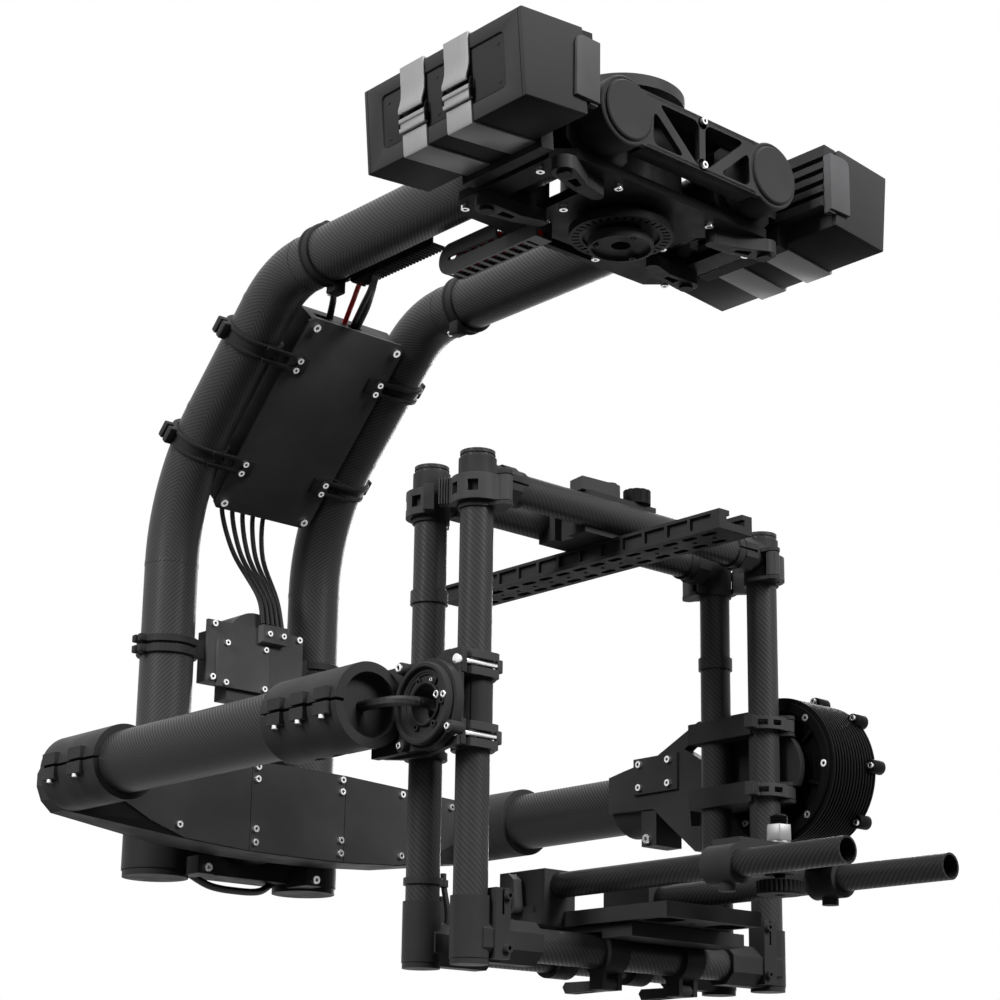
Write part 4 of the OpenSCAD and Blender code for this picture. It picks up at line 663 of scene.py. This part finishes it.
def tilt_motor():
    step = FINNED / FINS
    rim = []
    for i in range(FINS):
        x = 3 + i * step
        rim += [(GROOVE_R, x), (MOTOR_R - 0.4, x + 0.1), (MOTOR_R, x + 0.5), (MOTOR_R, x + step * 0.5),
                (MOTOR_R - 0.4, x + step * 0.55), (GROOVE_R, x + step * 0.58)]
    face = [(20.1, 28), (20.1, 9), (27, 9), (28, 7), (32, 7), (33, 10), (43, 10), (44.5, 6), (47, 5.4),
            (48.5, 1.4), (50, 0.3), (57, 0.3)]
    back = [(57, 58.5), (54, 60), (38, 60), (36.5, 58), (14, 58), (12, 60), (0.5, 60), (0.5, 28)]
    parts = [spun("motor_body", at(MOTOR_IN, 0, 0), "x", face + rim + back, *ROLL_MOTOR_BLACK)]
    for turn in (95, 137, 178, 222, 265):
        a = math.radians(turn)
        y, z = (MOTOR_R + 1) * math.cos(a), (MOTOR_R + 1) * math.sin(a)
        parts.append(rod("lug", at(MOTOR_OUT - 7, y, z), "x", 6, 14, *ROLL_MOTOR_BLACK))
    for turn in range(0, 360, 60):
        a = math.radians(turn + 20)
        y, z = 38 * math.cos(a), 38 * math.sin(a)
        parts.append(block("rib", (MOTOR_IN + 5, y - 8, z - 1.2), (MOTOR_IN + 12, y + 8, z + 1.2),
                           *ROLL_MOTOR_BLACK, 0.4, Matrix.Rotation(a, 4, "X")))
    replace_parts(joined("finned_tilt_motor", parts), "tilt_motor")


# Lens screw: thumb wheel under the bridge, stud, tall pale nut and black thread above
LENS_Y = -159
WHEEL = [(4, -131.5), (16.2, -131.5), (17, -130.7), (17, -122.3), (16.2, -121.5), (9, -121.5), (8, -120.5),
         (4, -120.5)]
WHEEL_FACETS, FLUTE_EVERY, THREADS, THREAD_PITCH = 90, 3, 7, 1.1


def lens_screw():
    wheel = spun("wheel", at(0, LENS_Y, 0), "z", WHEEL, "lens_screw", PLASTIC, "black_plastic", WHEEL_FACETS)
    pick(wheel)
    bpy.ops.object.mode_set(mode="EDIT")
    bpy.ops.mesh.select_all(action="DESELECT")
    bpy.ops.object.mode_set(mode="OBJECT")
    middle = at(0, LENS_Y, -126.5)
    for face in wheel.data.polygons:
        side = face.center - middle
        if abs(side.z) < 0.003 and math.hypot(side.x, side.y) > 0.0165:
            facet = round(math.atan2(side.y, side.x) / math.tau * WHEEL_FACETS - 0.5)
            face.select = facet % FLUTE_EVERY == 0
    bpy.ops.object.mode_set(mode="EDIT")
    bpy.ops.mesh.inset(thickness=0.0001, depth=-0.0011)
    bpy.ops.object.mode_set(mode="OBJECT")
    thread = [(3.5, -131), (3.9, -131), (3.9, -83)]
    for i in range(THREADS):
        thread += [(6.6, -82.5 + i * THREAD_PITCH), (5.6, -81.95 + i * THREAD_PITCH)]
    thread += [(5, -74.6), (3.5, -74.6)]
    stud = spun("stud", at(0, LENS_Y, 0), "z", thread, "lens_screw", MOTOR, "black_plastic", 40)
    nut = rod("nut", at(0, LENS_Y, -88), "z", 9.6, 12, *LENS_PALE, 6, 0.7, 0.25)
    collar = rod("collar", at(0, LENS_Y, -94.8), "z", 8.4, 1.8, *LENS_PALE, 40, 0.3)
    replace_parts(joined("knurled_wheel", [wheel, stud]), "thumb_screw")
    joined("lens_nut", [nut, collar])


# Batteries: each leans outwards by 5.2 degrees; x is measured out from its inner face
FAR_LEAN = Matrix.Translation(at(142, -16.5, 439.3)) @ Matrix.Rotation(math.radians(5.2), 4, "Y")
LEANS = {"far": FAR_LEAN, "near": Matrix.Scale(-1, 4, (1, 0, 0)) @ FAR_LEAN}
BATTERY_DEEP = 62.5
STRAP_Y = (-20.5, 31.5)


def upright_box(half, low, high):
    """The outline of a box about the middle of a battery."""
    return [(-half, low), (half, low), (half, high), (-half, high)]


def battery(side, place):
    """A case with a panel sunk in its outer face."""
    case = prism("case", upright_box(92.5, 0, 70), "x", 0, BATTERY_DEEP)
    carve(case, prism("recess", upright_box(71.5, 14, 58), "x", 60.3, 66, 4))
    pick(case)
    case.matrix_world = place
    case = settle(side + "_case", "pan_head", CASE, 1.2)
    look = ("pan_head", PANEL, "battery_case")
    panel = drawn(side + "_panel", upright_box(70.6, 14.9, 57.1), "x", 59.8, 60.8, *look, 0.2, place,
                  rounding=3.4)
    screws = [rod("screw", Vector((60.9, y, z)) * MM, "x", 1.5, 0.7, *look, 12, 0.2, place=place)
              for y in (-64, -9, 6, 64) for z in (21, 51)]
    return joined(side + "_battery", [case, panel] + screws)


UPPER_STRAP = [(-12, 70.3), (62.8, 70.3), (62.8, 52), (63.3, 46), (64.7, 41), (66.4, 36.3), (66.8, 34),
               (66.4, 32), (67.9, 32.2), (68.4, 34), (68, 36.5), (66.3, 41), (64.9, 46), (64.4, 52),
               (64.4, 71.4), (63.9, 71.9), (-12, 71.9)]
BUCKLE = [(63.2, 17.2), (66.6, 17.2), (67.2, 18), (67.2, 20.6), (65.8, 21.4), (65.8, 24.6), (67.2, 25.4),
          (67.2, 28), (66.6, 28.8), (63.2, 28.8)]
LOWER_STRAP = [(62.8, 16.4), (64.6, 16.4), (64.6, 0.2), (63.9, -1.9), (0, -1.9), (0, -0.3), (62.8, -0.3)]
INNER_LEAF = [(62.6, 15), (64.2, 15), (64.2, 34), (62.6, 34)]
HINGE = [(62.6, 19), (66.4, 19), (66.9, 22), (66.4, 31), (64.6, 35), (62.6, 35)]


def straps():
    """Spring steel straps: an upper and a lower leaf, and a buckle between them."""
    steel, dark = [], []
    look = ("pan_head", STRAP, "strap_metal")
    for place in LEANS.values():
        for y in STRAP_Y:
            for outline, half in ((UPPER_STRAP, 14), (BUCKLE, 15), (LOWER_STRAP, 14)):
                steel.append(drawn("leaf", outline, "y", y - half, y + half, *look, 0.25, place))
            dark.append(drawn("inner_leaf", INNER_LEAF, "y", y - 13.4, y + 13.4, *HEAD_PLASTIC, 0.2, place))
            for edge in (y - 15.4, y + 15.4):
                dark.append(drawn("hinge", HINGE, "y", edge - 0.7, edge + 0.7, *HEAD_PLASTIC, 0.3, place))
                dark.append(rod("hinge_pin", Vector((65, edge, 26)) * MM, "y", 1.6, 2.2, *HEAD_PLASTIC,
                                16, 0.2, place=place))
    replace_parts(joined("sprung_straps", steel), "battery_straps")
    joined("strap_hinges", dark)


def tray_ends():
    """Corner plates at the front ends of the battery trays."""
    # The corner plates take the paler copy of the black anodising, which is painted light
    look = ("pan_head", PAINTED_LIGHT_HOUSING, "black_alloy")
    far_face = [(133, 450), (157, 450), (157, 494), (155.2, 498.2), (151, 500), (133, 500)]
    far_fold = [(133, 448), (141, 448), (141, 500), (133, 500)]
    plates = []
    for face, fold in ((far_face, far_fold), (flip(far_face), flip(far_fold))):
        plates.append(drawn("face", face, "y", -112.6, -109.4, *look, 0.5))
        plates.append(drawn("fold", fold, "y", -110, -104.4, *look, 0.5))
    joined("tray_corner_plates", plates)


# Front casting, about the level of the yoke tubes
WEB_HALF, FLANGE, BOSS_SHIFT = 23.5, 3.5, 0.01
TRUSS_RING = [(25.3, -91.2), (26.1, -92.2), (27.2, -92.2), (28.3, -91.2), (28.3, -66.5), (27.8, -66),
              (25.3, -66)]
TRUSS_CAP = [(0.01, -94.6), (23.2, -94.6), (24.3, -93.6), (24.3, -92.2), (25.4, -91.6), (25.4, -90.4),
             (0.01, -90.4)]


def truss():
    """Front casting: cut-out web, two flanges, a ring and a cap at each tube."""
    low, high = HEAD_Z - WEB_HALF, HEAD_Z + WEB_HALF
    outline = [(-YOKE_X, low), (YOKE_X, low), (YOKE_X, high), (-YOKE_X, high)]
    corner = [(-54.8, HEAD_Z + 11), (-56, HEAD_Z - 19), (-20, HEAD_Z - 19)]
    middle = [(-50, HEAD_Z + 18), (-3.4, HEAD_Z + 18), (-3.4, HEAD_Z - 22.5)]
    web = drawn("web", outline, "y", -92, -87, *YOKE_DARK, 0.0,
                holes=[corner, flip(corner), middle, flip(middle)], rounding=7)
    for x in (-YOKE_X, YOKE_X):
        carve(web, prism("tube_way", circle(x, HEAD_Z, 26.6), "y", -95, -80, place=HOME))
    pick(web)
    bpy.ops.object.shade_smooth_by_angle(angle=SMOOTH_UP_TO)
    parts = [web]
    for z in (low, high - FLANGE):
        parts.append(block("flange", (-63, -92, z), (63, -72, z + FLANGE), *YOKE_DARK, 0.5))
    for side in (-1, 1):
        parts.append(spun("ring", at(side * YOKE_X, 0, HEAD_Z), "y", TRUSS_RING, *YOKE_DARK))
        parts.append(spun("cap", at(side * YOKE_X, 0, HEAD_Z), "y", TRUSS_CAP, *YOKE_DARK))
        # Two shells of each middle boss, hardly apart, which shade its rim dark round the screw
        for z in (high - 5.5, low + 5.5):
            parts.append(rod("boss", at(side * BOSS_SHIFT, -89.6, z), "y", 5.2, 5.2, *YOKE_DARK, bevel=0.2))
    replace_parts(joined("cut_out_truss", parts), "front_truss")


# Bands on the yoke tubes: a ring is two ribs with a groove between them
RING = [(25.1, -6), (27.4, -6), (28.4, -5.3), (28.4, -3.6), (26.7, -2.8), (26.7, 2.8), (28.4, 3.6),
        (28.4, 5.3), (27.4, 6), (25.1, 6)]
WIDE_RING = [(r if r < 26 else r + 1.2, h * 1.35) for r, h in RING]
PLAIN_RING = [(25.1, -3.6), (28, -3.6), (28.5, -3.1), (28.5, 3.1), (28, 3.6), (25.1, 3.6)]
BAND_Y = 289.5
CLAMP_Z = 146


def bend_band(x, side):
    """Band at the first bend, with a lug below and one on top."""
    inner = sorted((x - side * 18, x - side * 5))
    return [spun("band", at(x, BAND_Y, HEAD_Z), "y", RING, *YOKE_BLACK),
            block("lug", (inner[0], BAND_Y - 6, 436), (inner[1], BAND_Y + 6, 449), *YOKE_BLACK, 1.2),
            block("lug", (x - 6, BAND_Y - 5.5, 494.5), (x + 6, BAND_Y + 5.5, 501), *YOKE_BLACK, 1.2)]


def box_clips(x, side):
    """Clips of the controller box: a ring, two arms to a foot under the box, and a split ear outside."""
    slope = Matrix.Translation(at(x, 441, 381)) @ Matrix.Rotation(math.radians(135), 4, "X")
    foot = -side * 42.5
    arm = sorted((foot, 0))
    ear = sorted((side * 25.5, side * 36))
    parts = []
    for y in (-57.5, 57.5):
        parts.append(spun("clip", Vector((0, y * MM, 0)), "y", WIDE_RING, *YOKE_BLACK, place=slope))
        for low, high in ((y - 8, y - 4.4), (y + 4.4, y + 8)):
            parts.append(block("arm", (arm[0], low, 26.6), (arm[1], high, 31), *YOKE_BLACK, 0.6, place=slope))
        parts.append(block("foot", (foot - 6, y - 8, 27), (foot + 6, y + 8, 31), *YOKE_BLACK, 0.8,
                           place=slope))
        for low, high in ((-13, -6), (-3, 4)):
            parts.append(block("ear", (ear[0], y - 8, low), (ear[1], y + 8, high), *YOKE_BLACK, 1.4,
                               place=slope))
    return parts


def connector_clamps(x, side):
    """A pair of thin clamps with split ears, and the seat of the connector box."""
    ear = sorted((x + side * 21, x + side * 34))
    seat = sorted((x - side * 34, x - side * 12))
    parts = []
    for z in (CLAMP_Z - 5, CLAMP_Z + 5):
        parts.append(spun("clamp", at(x, BACK_Y, z), "z", PLAIN_RING, *YOKE_BLACK))
        for low, high in ((508.5, 515), (518, 524.5)):
            parts.append(block("ear", (ear[0], low, z - 3.6), (ear[1], high, z + 3.6), *YOKE_BLACK, 1.2))
    parts.append(block("seat", (seat[0], 496.5, CLAMP_Z - 9), (seat[1], 501.5, CLAMP_Z + 9),
                       *YOKE_BLACK, 0.8))
    return parts


def bands():
    """Clamps on the yoke tubes, and the ribbed cable run along the near one."""
    parts = []
    for side in (-1, 1):
        x = side * YOKE_X
        parts += bend_band(x, side) + box_clips(x, side) + connector_clamps(x, side)
    parts.append(block("run", (-58.3, 172, 451.5), (-56.9, 287, 470), *YOKE_BLACK, 0.3))
    parts.append(block("run_floor", (-58.3, 172, 451.5), (-44, 287, 453), *YOKE_BLACK, 0.3))
    for i in range(26):
        y = 172.4 + i * 4.4
        parts.append(block("rib", (-58.6, y, 449.6), (-43.4, y + 2.6, 452.2), *YOKE_BLACK, 0.5))
    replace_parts(joined("ribbed_bands", parts), "band_clamps")


def yoke_wiring():
    """Signal cables to the connector box, the leads from the battery side and the loop under the foot."""
    wires = []
    for i in range(5):
        x, end = -30 + i * 12, 4 + i * 5.5
        wires.append(cable("signal", [(x, 503.2, 302.5), (x - 1.5, 514, 291.5), ((x + end) / 2 - 4, 513, 252),
                                      (end - 4, 493, 208), (end, 488.5, 180.4)], 2.4, *YOKE_SHEATH))
    wires.append(cable("lead", [(-22, 366, 441), (-23.5, 362.5, 448), (-36, 341, 456), (-52, 318, 459.5),
                                (-55, 292, 458)], 3.3, *YOKE_SHEATH))
    for shift in (0, 5.4):
        end = -51 + shift * 0.4
        wires.append(cable("lead", [(3 + shift, 366, 440), (2.6 + shift, 361, 446), (-26 + shift, 310, 443),
                                    (end + 3, 270, 441), (end, 262, 449), (end, 254, 455)],
                           2.8, *YOKE_SHEATH))
    wires.append(cable("loop", [(-49.5, 518, -59), (-28, 510, -70.5), (0, 507, -73), (28, 510, -70.5),
                                (49.5, 518, -59)], 3.4, *YOKE_SHEATH))
    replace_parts(joined("yoke_wires", wires), "yoke_cables")
    cable("red_lead", [(-5, 366, 441), (-6.6, 361.5, 447), (-28, 322, 450.5), (-50, 281.3, 452.6),
                       (-52, 262, 456)], 2.4, "yoke", RED, "cable_sheath")


# Near tilt frame: places of the cage tubes, levels of the clamps, and outlines
FRONT_TUBE, REAR_TUBE = (-157, -7.5), (-157, 45.5)
UP, DOWN, REAR_UP = 31.0, -21.3, 12
CLAMP = [(12.7, -9.4), (15.6, -9.4), (16.2, -8.8), (16.2, -3.6), (14.3, -3), (14.3, 3), (16.2, 3.6),
         (16.2, 8.8), (15.6, 9.4), (12.7, 9.4)]
SLEEVE = [(12.7, -17.4), (13.6, -17.4), (14, -17), (14, 17), (13.6, 17.4), (12.7, 17.4)]
SLEEVE_Z = 4.8
SLIT = [(-0.6, -16), (0.6, -16), (0.6, 16), (-0.6, 16)]
FRAME_ARM = [(-25, 37.5), (-11, 38.5), (12, 31), (30, 18), (62, 18), (62, -31), (40, -34), (10, -35),
             (-11, -31.5), (-25, -31)]
FRAME_GAP = [(-23, 21), (-10.5, 25), (-10.5, -19), (-23, -16)]
DRUM = [(14.1, -181.6), (14.1, -197.2), (15.1, -198), (16.1, -197.2), (16.1, -195.2), (21, -195.2),
        (21.6, -196.4), (22.6, -196.4), (23.2, -197.2), (25.4, -197.2), (26, -200.2), (26.8, -201),
        (29.1, -201), (30, -200), (30, -195.6), (21.8, -195.4), (21.8, -181.6)]
SCREW_SEAT = [(1.3, 1), (1.3, -0.6), (1.9, -0.9), (2.7, -0.6), (2.7, 1)]


def near_frame():
    """Tilt frame on the near side: split clamps on the cage tubes, open arms and the hub's drum."""
    parts = []
    for z, rear_z in ((UP, REAR_UP), (DOWN, DOWN)):
        for tube, level in ((FRONT_TUBE, z), (REAR_TUBE, rear_z)):
            parts.append(spun("clamp", at(*tube, level), "z", CLAMP, *TILT_BLACK, 72))
        parts.append(block("jaw", (-184.5, -26, z - 9.4), (-179.3, -13.5, z + 9.4), *TILT_BLACK, 0.8))
        parts.append(block("hinge_web", (-175.6, -25, z - 2.9), (-169.2, -13.5, z + 2.9), *TILT_BLACK))
        parts.append(block("jaw_back", (-186, -14.5, z - 9), (-168.5, -6, z + 9), *TILT_BLACK, 0.8))
    # Sleeve of the front tube, with a slit down its front
    sleeve = spun("sleeve", at(*FRONT_TUBE, SLEEVE_Z), "z", SLEEVE, *TILT_BLACK, 72)
    front = Matrix.Translation(at(*FRONT_TUBE, SLEEVE_Z)) @ Matrix.Rotation(math.radians(219), 4, "Z")
    carve(sleeve, prism("slit", SLIT, "x", 11, 18, place=front))
    parts.append(sleeve)
    parts.append(block("flange", (-187.2, -25.4, DOWN + 9), (-184, -12.5, UP - 9), *TILT_BLACK, 0.8))
    arm = drawn("arm", FRAME_ARM, "x", -187, -181.5, *TILT_BLACK, 0.0, holes=[circle(0, 0, 14.2)])
    carve(arm, prism("gap", FRAME_GAP, "x", -190, -180, 4, HOME))
    link = block("rear_link", (-182, 30, -30), (-168, 60.5, 20), *TILT_BLACK, 1.0)
    carve(link, prism("tube_way", circle(*REAR_TUBE, 14), "z", -60, 60, place=HOME))
    parts += [arm, link, spun("drum", at(0, 0, 0), "x", DRUM, *TILT_BLACK)]
    for turn in (18, 66, 122, 180, 238, 300):
        a = math.radians(turn)
        centre = at(-196.4, 18.6 * math.cos(a), 18.6 * math.sin(a))
        parts.append(spun("seat", centre, "x", SCREW_SEAT, *TILT_BLACK, 20))
    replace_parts(joined("near_tilt_frame", parts), "near_stage")
    heads = ((-200.6, -26, 2.6, 2.6), (-197.6, -14.6, 4.6, 2.9), (-197.2, -8.6, 16.2, 1.6))
    bright = [screw_head(at(x, y, z), radius, "tilt_stage") for x, y, z, radius in heads]
    for z in (UP, DOWN):
        bright.append(rod("clamp_bolt", at(-168, -23.6, z), "x", 1.9, 36, *TILT_STEEL, 24, 0.3))
        bright.append(rod("bolt_head", at(-185.9, -22.4, z), "x", 3.9, 3.2, *TILT_STEEL, 24, 0.6))
    joined("near_frame_screws", bright)


def screw_head(centre, radius, body):
    """Socket head on a face that looks towards -X."""
    profile = [(0.01, 0.4), (radius * 0.46, 0.4), (radius * 0.46, -1.4), (radius * 0.6, -1.7),
               (radius * 0.85, -1.7), (radius, -1.2), (radius, 1.4), (0.01, 1.4)]
    return spun("screw_head", centre, "x", profile, body, STEEL, "screw_steel", 32)


def eye_ears():
    """Ears with screws on the eye of the near arm, outside the drum that turns in it."""
    ears, heads = [], []
    for y, z, radius in ((24, 29, 3.2), (22, -28, 2.4), (-31, -21, 2.4)):
        ears.append(rod("ear", at(-194.6, y, z), "x", 4.6, 12, "roll_stage", BLACK, "black_alloy", 24))
        heads.append(screw_head(at(-201, y, z), radius, "roll_stage"))
    joined("eye_ears", ears)
    joined("eye_screws", heads)


PRONG = [(-171, -25.7), (-168.8, -26), (-150.5, -26), (-147.6, -24.4), (-145.2, -19), (-143.6, -8),
         (-143.6, 2), (-147, 2), (-147.5, -7), (-169, -15.2), (-174.2, -15.3), (-176.2, -17.2), (-176.8, -20),
         (-176.2, -22.8), (-174.2, -24.9)]


def near_levers():
    """Closed levers of the near clamps: two prongs round the front of the tube, and a tip."""
    look = ("near_stage_clamp", LEVER, "lever_alloy")
    round_tube = circle(*FRONT_TUBE, 16.4)
    parts = []
    for z in (UP, DOWN):
        for low, high in ((z + 3.2, z + 9.2), (z - 9.2, z - 3.2)):
            piece = drawn("prong", PRONG, "z", low, high, *look, 0.0)
            carve(piece, prism("way", round_tube, "z", low - 2, high + 2, place=HOME))
            parts.append(piece)
        tip = block("tip", (-150, -25.4, z - 5), (-144.6, -14, z + 5), *look, 1.0)
        carve(tip, prism("way", round_tube, "z", z - 9, z + 9, place=HOME))
        parts.append(tip)
    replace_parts(joined("near_clamp_levers", parts), "near_stage_levers")


tilt_motor()
lens_screw()
batteries = [battery(side, place) for side, place in LEANS.items()]
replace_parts(joined("moulded_batteries", batteries), "batteries")
straps()
tray_ends()
truss()
bands()
yoke_wiring()
near_frame()
eye_ears()
near_levers()


# Room: BOUNCE is how much of the light the floor throws back up
BOUNCE, SKY = 0.015, 0.10
FLOOR_Z, FLOOR_LEVEL, FLOOR_WHITE = -1.12, 0.8, 0.85


def pale_floor():
    """Floor that the camera and mirrors see as nearly white, but which still takes a shadow."""
    f = Finish("pale_floor")
    camera, seen = f.rays()
    paint = f.wire("ShaderNodeBsdfDiffuse", None, {"Color": f.mix(camera, grey(BOUNCE), grey(FLOOR_LEVEL))})
    white = f.wire("ShaderNodeEmission", None, {"Color": grey(1.0), "Strength": 1.0})
    blend = f.wire("ShaderNodeMixShader", None, {0: seen * FLOOR_WHITE, 1: paint, 2: white})
    f.node("ShaderNodeOutputMaterial", None, {0: blend})
    return f.material


def set_room():
    bpy.ops.mesh.primitive_plane_add(size=14, location=(0, 0, FLOOR_Z))
    floor = bpy.context.object
    floor.name = "floor"
    floor.data.materials.append(pale_floor())
    world = bpy.data.worlds.new("studio")
    bpy.context.scene.world = world
    world.use_nodes = True
    backdrop = Graph(world.node_tree)
    seen = backdrop.rays()[1]
    sky, white = (backdrop.wire("ShaderNodeBackground", None, {"Color": grey(1.0), "Strength": strength})
                  for strength in (SKY, 1.0))
    blend = backdrop.wire("ShaderNodeMixShader", None, {0: seen, 1: sky, 2: white})
    backdrop.node("ShaderNodeOutputWorld", None, {0: blend})
    bpy.context.scene.view_settings.view_transform = "Standard"


MIDDLE = Vector((0.0, 0.15, -0.4))


def soft_light(name, place, width, height, power):
    """A rectangular lamp that looks at the middle of the object."""
    data = bpy.data.lights.new(name, "AREA")
    data.shape = "RECTANGLE"
    data.size, data.size_y = width, height
    data.energy = power
    lamp = bpy.data.objects.new(name, data)
    bpy.context.scene.collection.objects.link(lamp)
    look = (MIDDLE - Vector(place)).to_track_quat("-Z", "Y").to_matrix().to_4x4()
    lamp.matrix_world = Matrix.Translation(place) @ look


set_room()
soft_light("key_front", (0.7, -3.3, 1.5), 1.6, 1.6, 128)
soft_light("key_left", (-3.3, 0.0, 1.5), 1.0, 2.2, 105)
soft_light("top", (0.2, 0.4, 3.0), 3.0, 3.0, 60)
soft_light("back_right", (2.8, 2.0, 0.6), 0.7, 2.4, 40)
